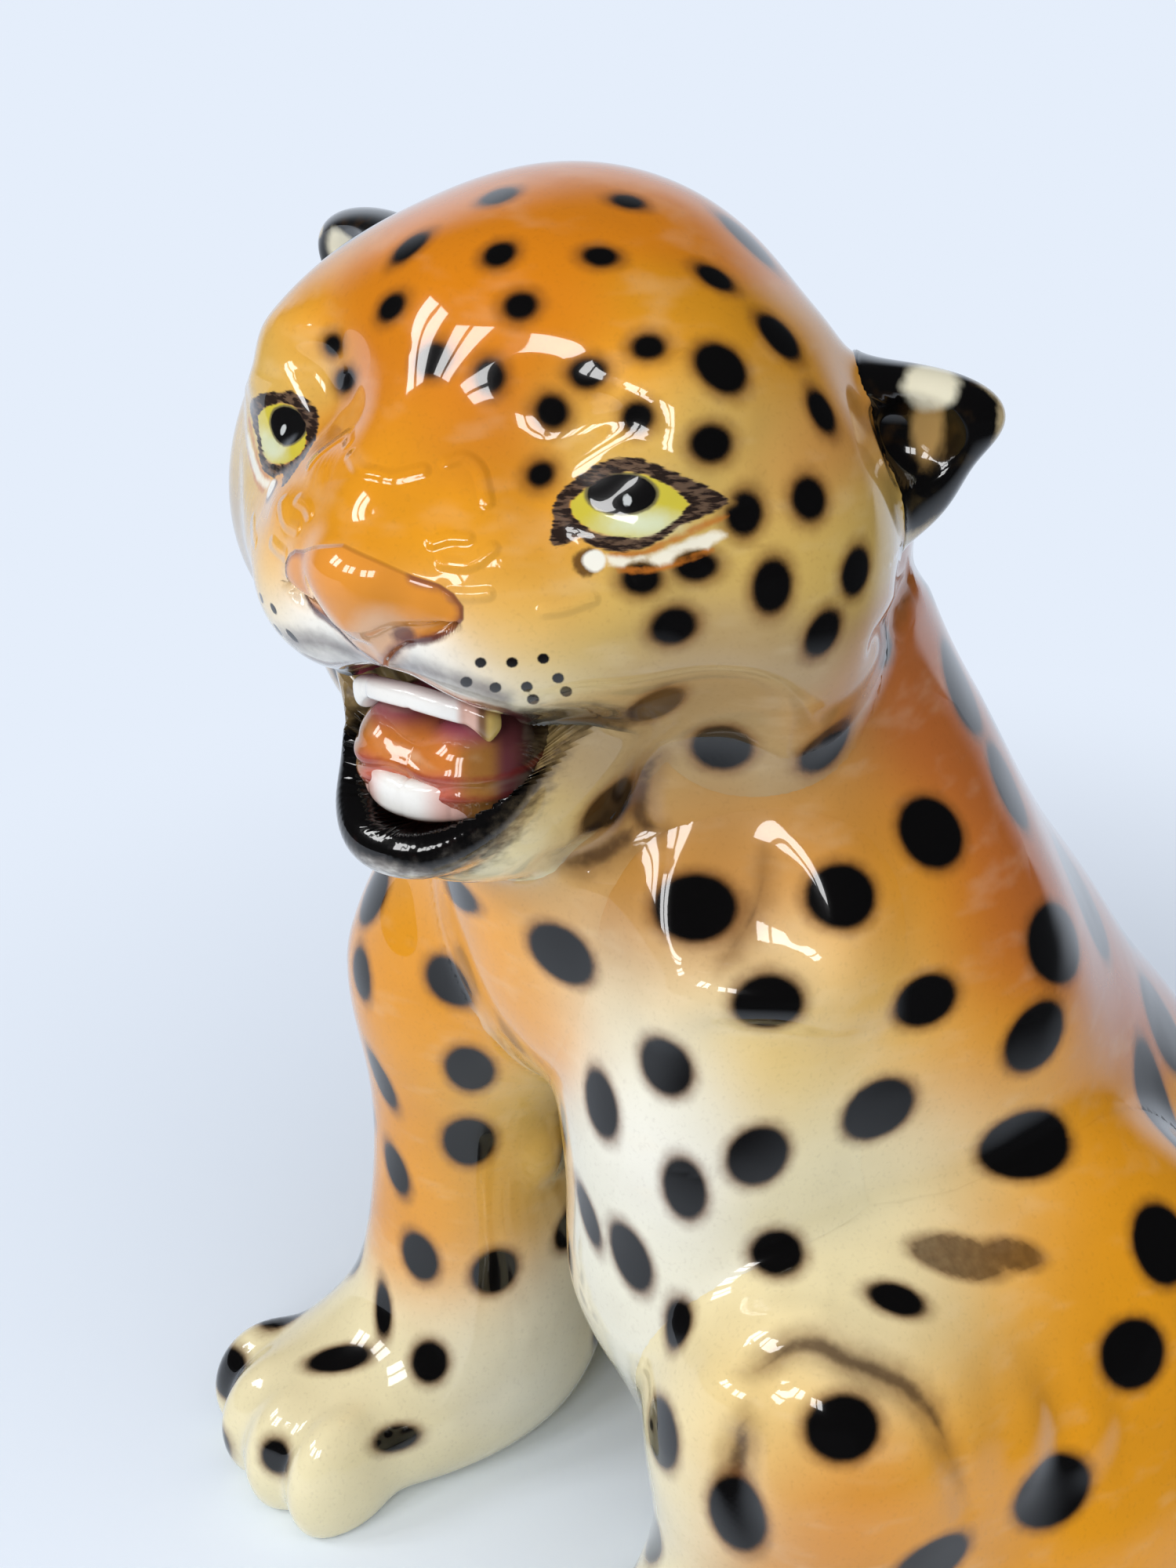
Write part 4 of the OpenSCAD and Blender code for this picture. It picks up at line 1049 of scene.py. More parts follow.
# %% Spots where the camera doesn't see
SPOT_HALF = {"head": 2.5, "body": 5.0, "left_foreleg": 3.6, "right_foreleg": 3.6, "left_hind_leg": 4.6,
             "right_hind_leg": 4.6, "tail": 4.0}
TRIES, SMALLEST, LARGEST, LONGEST = 1500, 0.82, 1.18, 1.22
FACE_FRONT, FACE_TOP, FACE_LOW, PAW_LOW = -12, 8, 150, 5
EDGE_ON, MARGIN_PX, SAME_PLACE, ON_SKIN, LEAST_GAP = 0.05, 40, 4, 0.3, 0.85
rng = np.random.default_rng(11)
where, size, normal = [], [], []
for node, half in SPOT_HALF.items():
    pick = rng.permutation(len(skins[node]["at"]))[:TRIES]
    where.append(skins[node]["at"][pick])
    normal.append(skins[node]["out"][pick])
    size.append(half * rng.uniform(SMALLEST, LARGEST, len(pick)))
where, size, normal = np.concatenate(where), np.concatenate(size), np.concatenate(normal)
shuffle = rng.permutation(len(where))
where, size, normal = where[shuffle], size[shuffle], normal[shuffle]
local = in_head(where)
on_face = (local[:, 1] < FACE_FRONT) & (local[:, 2] < FACE_TOP) & (where[:, 2] > FACE_LOW)
low_paw = where[:, 2] < PAW_LOW
facing = dots(unit(lens_at - where), normal) > EDGE_ON
pixel = to_pixel(where)
framed = facing & np.all((pixel > -MARGIN_PX) & (pixel < np.array([FRAME_W, FRAME_H]) + MARGIN_PX), axis=1)
first = np.linalg.norm(touch(pixel, EVERY) - where, axis=1) < SAME_PLACE
free = ~(on_face | low_paw | (framed & first)) & (np.abs(whole_depth(where, EVERY)[0]) < ON_SKIN)
middles, halves = list(seen[0]), list(np.maximum(*[np.linalg.norm(axis, axis=1) for axis in seen[1:3]]))
chosen = []
for k in np.nonzero(free)[0]:
    gap = np.linalg.norm(np.array(middles) - where[k], axis=1) - np.array(halves) - size[k]
    if gap.min() > LEAST_GAP * size[k]:
        chosen.append(k)
        middles.append(where[k])
        halves.append(size[k])
turn = rng.uniform(0, 2 * np.pi, len(chosen))
longer = rng.uniform(1.0, LONGEST, len(chosen))
out = normal[chosen]
side = unit(np.cross(out, np.roll(out, 1, axis=1) + 0.3))
other = np.cross(out, side)
cos, sin = np.cos(turn)[:, None], np.sin(turn)[:, None]
wide = (cos * side + sin * other) * (size[chosen] * longer)[:, None]
tall = (cos * other - sin * side) * (size[chosen] / longer)[:, None]
spots = [np.concatenate([a, b]) for a, b in zip(seen, (where[chosen], wide, tall, out))]
print(len(chosen), "more spots on the unseen sides")

# %% Distance to the nearest spot's edge
NO_SPOT, WIPED_LEAST, STAND_OFF = 30.0, 0.25, 1.6
faintest = np.full(len(spots[0]), -NO_SPOT)
faintest[len(sizes) - len(WIPED_SPOTS):len(sizes)] = WIPED_LEAST


def spot_distance(p):
    """Least over the ovals of (sqrt(u^2 + v^2 + w^2) - 1) times the oval's half size: u and v run along its two
    half axes, and w counts how far the point stands off its plane. A wiped spot keeps only its haze."""
    best = np.full(len(p), NO_SPOT)
    for at, wide, tall, out, least in zip(*spots, faintest):
        a, b = np.linalg.norm(wide), np.linalg.norm(tall)
        half = np.sqrt(a * b)
        close = np.nonzero(np.abs(p - at).max(1) < 2 * max(a, b) + 4)[0]
        q = p[close] - at
        u, v, w = q @ wide / (wide @ wide), q @ tall / (tall @ tall), q @ out / (STAND_OFF * half)
        best[close] = np.minimum(best[close], np.maximum((np.sqrt(u * u + v * v + w * w) - 1) * half, least))
    return best


for node in COATS:
    at = skins[node]["at"]
    skins[node]["spots"] = spot_distance(at)
    # Distance to the narrow creases, which get painted shade and a brown wash.
    skins[node]["crease_wash_and_shade"] = np.minimum.reduce([rope(at, line, thin) for line, thin in CREASE_LINES])
print("spots laid on", len(COATS), "pieces")

# %% [markdown]
# ## The face
# Eyes, lids and whisker dots are drawn with a fine brush. Their outlines are given in pixels of the
# photograph, on the side of the face that the camera sees. A point on the other half of the face is
# mirrored first, so both halves get the same drawing, but for a hand's small slips: the far eye stands a
# little nearer the nose, and the far half of the nose is narrower. Each shape becomes a distance to its
# edge, in pixels, which the glaze turns into a line or a filled shape with an edge as sharp as the brush.

# %% Shapes on the face
LID_OUTSIDE = [(700, 692), (705, 668), (704, 648), (713, 628), (739, 606), (762, 591), (787, 583), (810, 583),
               (831, 590), (858, 600), (888, 613), (915, 627), (934, 640), (899, 659), (870, 671), (842, 689),
               (814, 702), (787, 705), (762, 700), (741, 687), (722, 694), (708, 699)]
LID_INSIDE = [(728, 640), (746, 624), (776, 606), (800, 602), (824, 606), (848, 616), (868, 630), (880, 643),
              (866, 661), (842, 678), (814, 686), (787, 685), (759, 678), (738, 666), (728, 653)]
UNDER_LID = [(772, 707), (800, 712), (830, 707), (860, 695), (890, 683), (916, 675), (928, 683), (902, 701),
             (870, 714), (836, 724), (802, 724), (776, 721)]
LASH_LINES = [[(780, 708), (822, 704), (862, 687), (902, 668), (926, 658)],
              [(790, 727), (830, 727), (868, 716), (908, 702)]]
EYE_OVALS = {"pupil": ((793, 630), (45, 26)), "glint": ((800, 638), (6, 8)), "gaze": ((816, 668), (50, 17)),
             "tear": ((758, 715), (15, 14)), "tear_ring": ((750, 717), (20, 18))}
NOSE_NEAR = [(528, 736), (560, 746), (578, 758), (590, 774), (590, 790), (576, 806), (552, 816), (520, 820),
             (504, 830), (494, 842), (492, 858)]
NOSE = NOSE_NEAR + [(484, 862), (430, 880), (360, 800), (380, 690), (424, 688), (456, 704), (488, 718)]
NOSE_PALE, NOSTRIL_HOLE = ((480, 815), (40, 40)), ((514, 809), (13, 9))
NOSTRIL_EDGE, NOSTRIL_EDGE_R = [(500, 838), (512, 824), (530, 820), (558, 814), (582, 800)], 2.5
# A grey band of painted shade just above the upper lip, under the muzzle's edge.
LIP_SHADE = [(488, 846), (502, 848), (545, 856), (590, 871), (642, 890)]
LIP_LINE = [(488, 862), (539, 872), (587, 893), (635, 904), (684, 922)]
WRINKLES = [[(570, 590), (592, 584), (612, 600), (622, 640)], [(552, 692), (572, 686), (596, 686)],
            [(565, 718), (600, 720), (629, 700)], [(576, 759), (600, 760), (622, 758)],
            [(694, 780), (722, 776), (756, 764)], [(470, 600), (500, 608), (540, 600)]]
WHISKER_DOTS = [(613, 845), (653, 845), (693, 840), (595, 870), (632, 877), (672, 876), (712, 865), (722, 882),
                (680, 892)]
WHISKER_R = (8.0, 7.0)


def chain_distance(px, a, b):
    """Least distance to the straight lines from each point of a to the same point of b."""
    best = np.full(len(px), np.inf)
    for start, run in zip(a, b - a):
        h = np.clip(((px - start) @ run) / (run @ run), 0, 1)
        best = np.minimum(best, np.linalg.norm(px - start - h[:, None] * run, axis=1))
    return best


def outline_distance(px, corners):
    """Signed distance to a closed outline, negative inside: distance to the nearest side, with the sign from
    how often a level ray from the point crosses the sides."""
    a = np.array(corners, float)
    b = np.roll(a, -1, axis=0)
    odd = np.zeros(len(px), bool)
    for (ax, ay), (bx, by) in zip(a, b):
        cross = (ay > px[:, 1]) != (by > px[:, 1])
        with np.errstate(divide="ignore", invalid="ignore"):
            odd ^= cross & (px[:, 0] < ax + (px[:, 1] - ay) / (by - ay) * (bx - ax))
    best = chain_distance(px, a, b)
    return np.where(odd, -best, best)


def line_distance(px, *lines):
    """Least distance to smooth lines through their knots."""
    return np.minimum.reduce([chain_distance(px, line[:-1], line[1:]) for line in (eased(k, 6) for k in lines)])


def oval_distance(px, at, r):
    """(|q / r| - 1) times the smaller half size."""
    return (np.linalg.norm((px - at) / np.array(r, float), axis=1) - 1) * min(r)


# %% Draw them on the head
PX_PER_MM = 9.3
FACE_BACK, EYE_SHIFT, NOSE_NARROWER = -6, 4.5, 1.2
LID_MARGIN_PX, SPOT_MARGIN_PX = 6, 4


def on_near_half(skin):
    """A skin's places in the head's frame, the same places on the near half of the face, and whether the camera
    would see them there, since their mirrored normals point to the lens."""
    local = in_head(skin["at"])
    near = from_head(folded(local))
    out = skin["out"] @ HEAD_TURN
    out = np.where(local[:, :1] < 0, out * FLIP, out) @ HEAD_TURN.T
    return local, near, dots(lens_at - near, out) > 0


head = skins["head"]
local, near, shown = on_near_half(head)
px = to_pixel(near)
far = local[:, :1] < 0
eye_px = to_pixel(from_head(folded(local) + np.where(far, EYE_SHIFT, 0) * np.array([1, 0, 0])))
nose_px = to_pixel(from_head(folded(local) * np.where(far, [NOSE_NARROWER, 1, 1], [1, 1, 1])))
drawn = {name: oval_distance(eye_px, *oval) for name, oval in EYE_OVALS.items()}
drawn.update({
    "lid": outline_distance(eye_px, LID_OUTSIDE), "iris": outline_distance(eye_px, LID_INSIDE),
    "under_lid": outline_distance(eye_px, UNDER_LID), "lashes": line_distance(eye_px, *LASH_LINES),
    "leather": outline_distance(nose_px, NOSE), "nose_pale": oval_distance(nose_px, *NOSE_PALE),
    "nose_edge": line_distance(nose_px, NOSE_NEAR),
    "nostril": np.minimum(oval_distance(nose_px, *NOSTRIL_HOLE),
                          line_distance(nose_px, NOSTRIL_EDGE) - NOSTRIL_EDGE_R),
    "lip_shade": line_distance(nose_px, LIP_SHADE), "lip_line": line_distance(nose_px, LIP_LINE),
    "wrinkles": line_distance(px, *WRINKLES),
    "whiskers": np.minimum.reduce([oval_distance(px, dot, WHISKER_R) for dot in WHISKER_DOTS]),
})
for name, distance in drawn.items():
    head[name] = np.where(shown & (local[:, 1] < FACE_BACK), distance, AWAY)
head["spots"] = np.maximum(head["spots"], (LID_MARGIN_PX - head["lid"]) / PX_PER_MM)
head["under_lid"] = np.maximum(head["under_lid"], SPOT_MARGIN_PX - head["spots"] * PX_PER_MM)
print(len(drawn), "shapes drawn, the eye on", int((head["iris"] < 0).sum()), "points")

# %% [markdown]
# ## Lips, palate and ears
# The lips and the corners of the mouth are flooded with black glaze along their rope of clay. The ears are
# black too, but for a white patch that fades to tan below and a cream edge, which both ears get from one
# drawing. Some of their black is brushed over the root onto the head.

# %% Lips, palate and ears
RIM_FRONT, PALATE_BACK, PALATE_SKIN = -20, 6, 0.45
CORNER_AT, CORNER_R = (18.5, -26.5, -35.5), np.array([8.5, 12, 5.2])
hollow = mouth_hollow(head["at"])
head["rim"] = np.where(local[:, 1] < RIM_FRONT, np.abs(hollow) - 0.5, AWAY)
head["palate"] = np.where((hollow < PALATE_SKIN) & (local[:, 1] < PALATE_BACK), -3.0, hollow)
head["soot"] = np.linalg.norm((folded(local) - CORNER_AT) / CORNER_R, axis=1) * 5 - 5
head["ear_soot"] = np.minimum(ear_clay(head["at"], 1), ear_clay(head["at"], -1))

BLACK_LIP = [(400, 820), (420, 1000), (440, 1060), (476, 1090), (517, 1101), (552, 1105), (590, 1092),
             (632, 1066), (672, 1006), (700, 950), (740, 880), (700, 820)]
LIP_THICK, CHIN_Z, LIP_TOP, FLOOR_SKIN = 0.9, -53, -23, 0.5
jaw_skin = skins["lower_jaw"]
jaw_local, jaw_near, shown = on_near_half(jaw_skin)
lip = rope(jaw_local, LIP, LIP_R)
chin = np.where(shown, outline_distance(to_pixel(jaw_near), BLACK_LIP) / PX_PER_MM, CHIN_Z - jaw_local[:, 2])
jaw_skin["ink"] = np.where(jaw_local[:, 2] < LIP_TOP, np.maximum(lip - LIP_THICK, chin), AWAY)
jaw_skin["floor"] = np.where(mouth_hollow(jaw_skin["at"]) < FLOOR_SKIN, -2.0, AWAY)

EAR_PATCH, EAR_FADE = ((1187, 492), (37, 32)), ((1184, 545), (26, 54))
EAR_EDGE = [(1244, 474), (1277, 500), (1284, 540), (1264, 600), (1224, 650), (1182, 680), (1136, 698)]
FAR_EAR_LIFT = 5.0
for ear, side in EARS.items():
    lift = [0, 0, FAR_EAR_LIFT if side < 0 else 0.0]
    twin = from_head(EAR_AT[1] + (in_ear(skins[ear]["at"], side) + lift) @ EAR_TURN[1].T)
    out = skins[ear]["out"] @ HEAD_TURN @ EAR_TURN[side] * np.array([side, 1, 1])
    shown = dots(lens_at - twin, out @ EAR_TURN[1].T @ HEAD_TURN.T) > 0
    ear_px = to_pixel(twin)
    skins[ear]["patch"] = np.where(shown, oval_distance(ear_px, *EAR_PATCH), AWAY)
    skins[ear]["fade"] = np.where(shown, oval_distance(ear_px, *EAR_FADE), AWAY)
    skins[ear]["edge"] = line_distance(ear_px, EAR_EDGE)
print("leather on", int((head["leather"] < 0).sum()), "points, ink on", int((jaw_skin["ink"] < 0).sum()))

# %% [markdown]
# ## Glaze
# A finish here is a stack of paint layers under one clear coat. The first coat is a colour kept on the mesh
# points, with a little cloudiness and a fine grain from the airbrush. Every further layer reads a distance
# from the points, roughens it with noise so that it looks brushed or sprayed, and mixes its colour in with
# a soft edge. A principled shader with a sharp clear coat closes the stack, and a faint waviness bends its
# reflections.

# %% Paint layers on nodes
def keep(piece, name, values):
    """Keep one number, or one colour, per mesh point as a named attribute."""
    if values.ndim == 2:
        layer = piece.data.attributes.new(name, "FLOAT_COLOR", "POINT")
        flat = np.concatenate([values, np.ones((len(values), 1))], 1)
        layer.data.foreach_set("color", flat.astype(np.float32).ravel())
    else:
        layer = piece.data.attributes.new(name, "FLOAT", "POINT")
        layer.data.foreach_set("value", values.astype(np.float32))


def tint(r, g, b):
    """A colour with full opacity, from a display colour."""
    return tuple(linear(r, g, b)) + (1.0,)


INK, HAZE, UMBER = tint(9, 8, 8), tint(104, 62, 28), tint(54, 36, 28)
DARK_GRAIN, PALE_CLOUD = tint(96, 62, 30), tint(250, 236, 204)
CLEAR_COAT = {"Roughness": 0.16, "IOR": 1.5, "Specular IOR Level": 0.12, "Coat Weight": 1.0,
              "Coat Roughness": 0.025, "Coat IOR": 1.5}


class Glaze:
    """A glaze under construction: its node tree, the attributes it reads, its colour and its height so far."""

    def __init__(self, name):
        self.made = bpy.data.materials.new(name)
        self.made.use_nodes = True
        self.tree = self.made.node_tree
        self.shader = self.tree.nodes["Principled BSDF"]
        self.place = self.tree.nodes.new("ShaderNodeTexCoord").outputs["Object"]
        self.reads, self.colour, self.height = {}, None, None

    def node(self, kind, **values):
        """A new node with some of its inputs set."""
        n = self.tree.nodes.new(kind)
        for key, value in values.items():
            n.inputs[key].default_value = value
        return n

    def link(self, a, b):
        """Join an output to an input."""
        self.tree.links.new(a, b)

    def noise(self, scale, detail=2.0, stretch=None):
        """Noise of so many cells per metre, stretched along an axis where asked."""
        n = self.node("ShaderNodeTexNoise", Scale=scale, Detail=detail)
        source = self.place
        if stretch is not None:
            m = self.node("ShaderNodeMapping", Scale=stretch)
            self.link(source, m.inputs["Vector"])
            source = m.outputs["Vector"]
        self.link(source, n.inputs["Vector"])
        return n.outputs["Fac"]

    def number(self, name):
        """The attribute of that name, which the glazed piece then has to keep."""
        n = self.tree.nodes.new("ShaderNodeAttribute")
        n.attribute_name = name
        self.reads[name] = n
        return n

    def ramp(self, value, start, stop, low=0.0, high=1.0):
        """A smooth step from low at start to high at stop."""
        n = self.tree.nodes.new("ShaderNodeMapRange")
        n.interpolation_type = "SMOOTHSTEP"
        for key, v in (("From Min", start), ("From Max", stop), ("To Min", low), ("To Max", high)):
            n.inputs[key].default_value = v
        self.link(value, n.inputs["Value"])
        return n.outputs["Result"]

    def math(self, kind, a, b):
        """One sum on two values, each a socket or a number."""
        n = self.tree.nodes.new("ShaderNodeMath")
        n.operation = kind
        for socket, v in zip(n.inputs, (a, b)):
            if isinstance(v, (int, float)):
                socket.default_value = v
            else:
                self.link(v, socket)
        return n.outputs[0]

    def mix(self, share, colour, kind="MIX"):
        """Mix a colour into the colour so far by a share."""
        n = self.tree.nodes.new("ShaderNodeMix")
        n.data_type = "RGBA"
        n.blend_type = kind
        self.link(share, n.inputs["Factor"])
        self.link(self.colour, n.inputs["A"])
        if isinstance(colour, tuple):
            n.inputs["B"].default_value = colour
        else:
            self.link(colour, n.inputs["B"])
        self.colour = n.outputs["Result"]

    def roughened(self, value, noise, rough):
        """A distance moved up and down by a noise: value + rough (2 noise - 1)."""
        return self.math("ADD", value, self.math("MULTIPLY", self.math("SUBTRACT", noise, 0.5), 2.0 * rough))

    def paint(self, name, colour, start, stop, rough=0.0, grain=900.0, strength=1.0, stretch=None):
        """A layer that is absent where the distance is over start, full where it is under stop."""
        value = self.number(name).outputs["Fac"]
        if rough:
            value = self.roughened(value, self.noise(grain, 3.0, stretch), rough)
        self.mix(self.ramp(value, start, stop, 0.0, strength), colour)

    def first_coat(self, cloud=0.10, grain=0.10):
        """The sprayed colour, lightened and darkened by broad clouds and by the airbrush's fine grain."""
        self.colour = self.number("coat").outputs["Color"]
        self.mix(self.ramp(self.noise(70.0, 3.0), 0.35, 0.75, 0.0, cloud), DARK_GRAIN)
        self.mix(self.ramp(self.noise(1500.0, 1.0), 0.52, 0.85, 0.0, grain), DARK_GRAIN)
        self.mix(self.ramp(self.noise(110.0, 2.0, (1.0, 1.0, 2.5)), 0.5, 0.8, 0.0, cloud), PALE_CLOUD)

    def emboss(self, name, start, stop, rise):
        """Thicker glaze, by so many millimetres, where the distance is under stop."""
        step = self.ramp(self.number(name).outputs["Fac"], start, stop, 0.0, rise)
        self.height = step if self.height is None else self.math("ADD", self.height, step)

    def fired(self, wave):
        """Close the stack: gloss under a sharp clear coat, with a faint waviness."""
        s = self.shader
        self.link(self.colour, s.inputs["Base Color"])
        for key, value in CLEAR_COAT.items():
            s.inputs[key].default_value = value
        bump = self.node("ShaderNodeBump", Strength=1.0, Distance=0.001)
        rise = self.math("MULTIPLY", self.noise(95.0, 1.0), 1.2 * wave)
        self.link(rise if self.height is None else self.math("ADD", rise, self.height), bump.inputs["Height"])
        self.link(bump.outputs["Normal"], s.inputs["Normal"])
        self.link(bump.outputs["Normal"], s.inputs["Coat Normal"])
        return self.made


def dress(g, wave, *nodes):
    """Fire a glaze, give it to the nodes' pieces and keep on their points what it reads."""
    made = g.fired(wave)
    for node in nodes:
        skin = skins[node]
        for name in g.reads:
            keep(skin["piece"], name, skin[name])
        skin["piece"].data.materials.append(made)
    print(made.name, "with", len(g.tree.nodes), "nodes on", ", ".join(nodes))


print("a clear coat with a roughness of", CLEAR_COAT["Coat Roughness"])

# %% The spotted coat
def spotted(name):
    """First coat, painted shade and a brown wash in the creases, a brown haze round each spot and the spot
    itself.
    """
    g = Glaze(name)
    g.first_coat()
    # Painted shade and a brown wash in the creases: a broad soft band, then a darker core.
    g.paint("crease_wash_and_shade", tint(116, 78, 40), 5.0, 0.2, 1.4, 260.0, 0.62)
    g.paint("crease_wash_and_shade", tint(60, 40, 28), 1.8, 0.2, 0.7, 420.0, 0.72)
    g.paint("spots", HAZE, 2.5, -0.4, 0.5, 500.0, 0.80)
    g.paint("spots", INK, 0.85, -0.5, 0.15, 700.0)
    return g


dress(spotted("spotted_glaze"), 0.10,
      "body", "left_foreleg", "right_foreleg", "left_hind_leg", "right_hind_leg", "tail")

# %% The painted face
g = spotted("face_glaze")
# Painted shade: a grey band darkening the muzzle just above the upper lip.
g.paint("lip_shade", tint(98, 88, 88), 24.0, -6.0, 8.0, 420.0, 0.85)
g.paint("leather", tint(214, 138, 50), 2.0, -2.0, 1.2, 600.0)
g.paint("nose_pale", tint(224, 182, 146), 14.0, -22.0, 5.0, 500.0, 0.75)
inside = g.ramp(g.number("leather").outputs["Fac"], 2.5, 0.0)
along = g.roughened(g.number("nose_edge").outputs["Fac"], g.noise(420.0, 3.0), 6.0)
g.mix(g.math("MULTIPLY", inside, g.ramp(along, 16.0, 1.0, 0.0, 0.8)), tint(132, 74, 60))
g.paint("nostril", tint(92, 48, 46), 6.0, -2.0, 5.0, 600.0, 0.85)
g.paint("lip_line", tint(110, 76, 58), 4.5, 1.0, 2.5, 500.0, 0.8)
g.paint("rim", tint(96, 52, 46), 1.3, -0.1, 0.5, 500.0, 0.9)
g.paint("soot", INK, 2.5, -2.0, 1.2, 500.0, 0.95)
g.paint("palate", tint(146, 60, 74), 0.9, 0.2, 0.2, 700.0)
g.paint("ear_soot", INK, 1.6, 0.3, 0.6, 300.0, 0.95)
g.paint("lashes", tint(186, 108, 36), 7.0, 1.0, 4.0, 700.0, 0.75)
g.paint("under_lid", tint(236, 230, 210), 4.0, -5.0, 4.0, 800.0, 0.92)
g.paint("tear_ring", tint(72, 42, 24), 3.0, -4.0, 5.0, 800.0, 0.85)
g.paint("tear", tint(236, 232, 218), 2.5, -3.0, 2.0, 900.0)
g.paint("iris", tint(198, 182, 62), 1.0, -1.0)
g.paint("gaze", tint(206, 212, 178), 12.0, -14.0, 5.0, 600.0, 0.95)
g.paint("pupil", tint(96, 88, 66), 3.5, 0.5, 1.5, 800.0, 0.9)
g.paint("pupil", tint(14, 13, 13), 0.6, -1.6, 0.8, 800.0)
g.paint("glint", tint(186, 188, 186), 1.0, -1.0, 1.0, 900.0)
lid, iris = g.number("lid").outputs["Fac"], g.number("iris").outputs["Fac"]
ring = g.math("MAXIMUM", lid, g.math("MULTIPLY", iris, -1.0))
streak = g.noise(1100.0, 3.0, (0.45, 0.45, 2.2))
cover = g.ramp(g.roughened(ring, streak, 4.5), 1.5, -2.5, 0.0, 0.97)
g.mix(cover, tint(92, 72, 60))
g.mix(g.math("MULTIPLY", cover, g.ramp(streak, 0.60, 0.44, 0.0, 0.95)), tint(30, 21, 19))
g.paint("whiskers", tint(20, 16, 16), 1.0, -1.4, 0.8, 700.0)
g.emboss("leather", 3.0, -5.0, 0.45)
g.emboss("wrinkles", 13.0, 1.0, 0.32)
dress(g, 0.08, "head")

# %% Jaw and ears
g = spotted("jaw_glaze")
g.paint("floor", tint(120, 56, 58), 1.0, -1.0, 0.3, 700.0)
g.paint("ink", UMBER, 4.2, 0.2, 2.4, 420.0, 0.85, (1.0, 1.0, 2.0))
g.paint("ink", INK, 1.6, -0.4, 0.8, 600.0)
dress(g, 0.06, "lower_jaw")

g = Glaze("ear_glaze")
g.first_coat()
g.mix(g.ramp(g.noise(300.0, 3.0), 0.9, 0.5, 0.93, 1.0), INK)
g.paint("edge", tint(206, 184, 140), 15.0, 4.0, 6.0, 500.0, 0.85)
g.paint("fade", tint(190, 152, 92), 4.0, -14.0, 8.0, 420.0, 0.85, (1.0, 1.0, 0.4))
g.paint("patch", tint(228, 222, 196), 7.0, -9.0, 6.0, 420.0, 0.96, (1.0, 1.0, 0.5))
dress(g, 0.06, "left_ear", "right_ear")

# %% Tongue and teeth
def washed(colour, *washes):
    """A display colour with washes over it: each mixes in its own by 3 u^2 - 2 u^3, where u runs from 0 to 1
    while a measure of the points runs from start to stop."""
    colour = linear(*colour)
    for measure, start, stop, other in washes:
        u = np.clip((measure - start) / (stop - start), 0, 1)[:, None]
        share = u * u * (3 - 2 * u)
        colour = colour * (1 - share) + linear(*other) * share
    return colour


TONGUE_ORANGE, LOW_PINK, SIDE_TAN = (208, 122, 52), (196, 104, 86), (160, 108, 52)
TOP_MAUVE, SIDE_SHADE, THROAT = (150, 74, 90), (112, 58, 62), (36, 22, 24)
t = in_head(skins["tongue"]["at"])
across, down = to_pixel(from_head(folded(t))).T
skins["tongue"]["coat"] = washed(
    TONGUE_ORANGE, (down, 978, 1002, LOW_PINK), (across, 566, 606, SIDE_TAN),
    (t[:, 2], -40.6, -38.0, TOP_MAUVE), (across, 622, 646, SIDE_SHADE), (across, 652, 684, THROAT))
skins["tongue"]["crease"] = tongue_ripple(t) + np.abs(t[:, 2] - RIPPLE_Z) / 2.2
g = Glaze("tongue_glaze")
g.first_coat(0.25, 0.15)
g.paint("crease", tint(132, 44, 40), 0.6, -0.6, 0.5, 500.0, 0.75)
dress(g, 0.14, "tongue")

IVORY, GUM_PINK, GAP_BROWN, EYE_TOOTH = (238, 236, 230), (212, 172, 156), (120, 88, 62), (198, 168, 96)
LOWER_PINK, ROOT_BROWN = (222, 178, 166), (90, 60, 50)
for node in ("upper_teeth", "lower_teeth"):
    t = in_head(skins[node]["at"])
    across = to_pixel(from_head(folded(t)))[:, 0]
    if node == "upper_teeth":
        across = np.where(t[:, 0] > 0, across, 0)
        skins[node]["coat"] = washed(IVORY, (across, 578, 592, GUM_PINK), (across, 604, 614, GAP_BROWN),
                                     (across, 616, 626, EYE_TOOTH))
    else:
        skins[node]["coat"] = washed(IVORY, (across, 528, 570, LOWER_PINK), (-t[:, 2], 49.6, 50.8, ROOT_BROWN))
    g = Glaze(node + "_glaze")
    g.first_coat(0.06, 0.04)
    dress(g, 0.12, node)
print("glazed", len(skins), "pieces")

# %% [markdown]
# ## Studio
# A glossy glaze shows the room more than the lamps. The room here is a pale floor that fades into a pale
# backdrop behind the cub, and stays dim on the camera's side, so that black glaze turned to the camera is deep
# and edges turned away shine. Three windows of two panes stand in front of the cub and a wide soft lamp hangs
# overhead. The panes give the small bright squares that tell the eye that the glaze is wet and smooth.

# %% Floor and backdrop
BACKDROP, PAPER = tint(229, 238, 251), tint(232, 242, 254)
FLOOR_HALF, FADE_FROM, FADE_TO = 6, 0.10, 0.34
floor_mesh = bpy.data.meshes.new("floor")
floor_mesh.from_pydata([(x * FLOOR_HALF, y * FLOOR_HALF, 0) for x, y in ((-1, -1), (1, -1), (1, 1), (-1, 1))],
                       [], [(0, 1, 2, 3)])
floor = bpy.data.objects.new("floor", floor_mesh)
bpy.context.scene.collection.objects.link(floor)


def wired(tree, *nodes):
    """New nodes by kind, each with its settings and its inputs: a value, or (earlier node, its output)."""
    made = []
    for kind, settings, inputs in nodes:
        n = tree.nodes.new(kind)
        for key, value in settings.items():
            setattr(n, key, value)
        for key, value in inputs.items():
            if isinstance(value, tuple) and len(value) == 2 and isinstance(value[0], int):
                tree.links.new(made[value[0]].outputs[value[1]], n.inputs[key])
            else:
                n.inputs[key].default_value = value
        made.append(n)
    return made


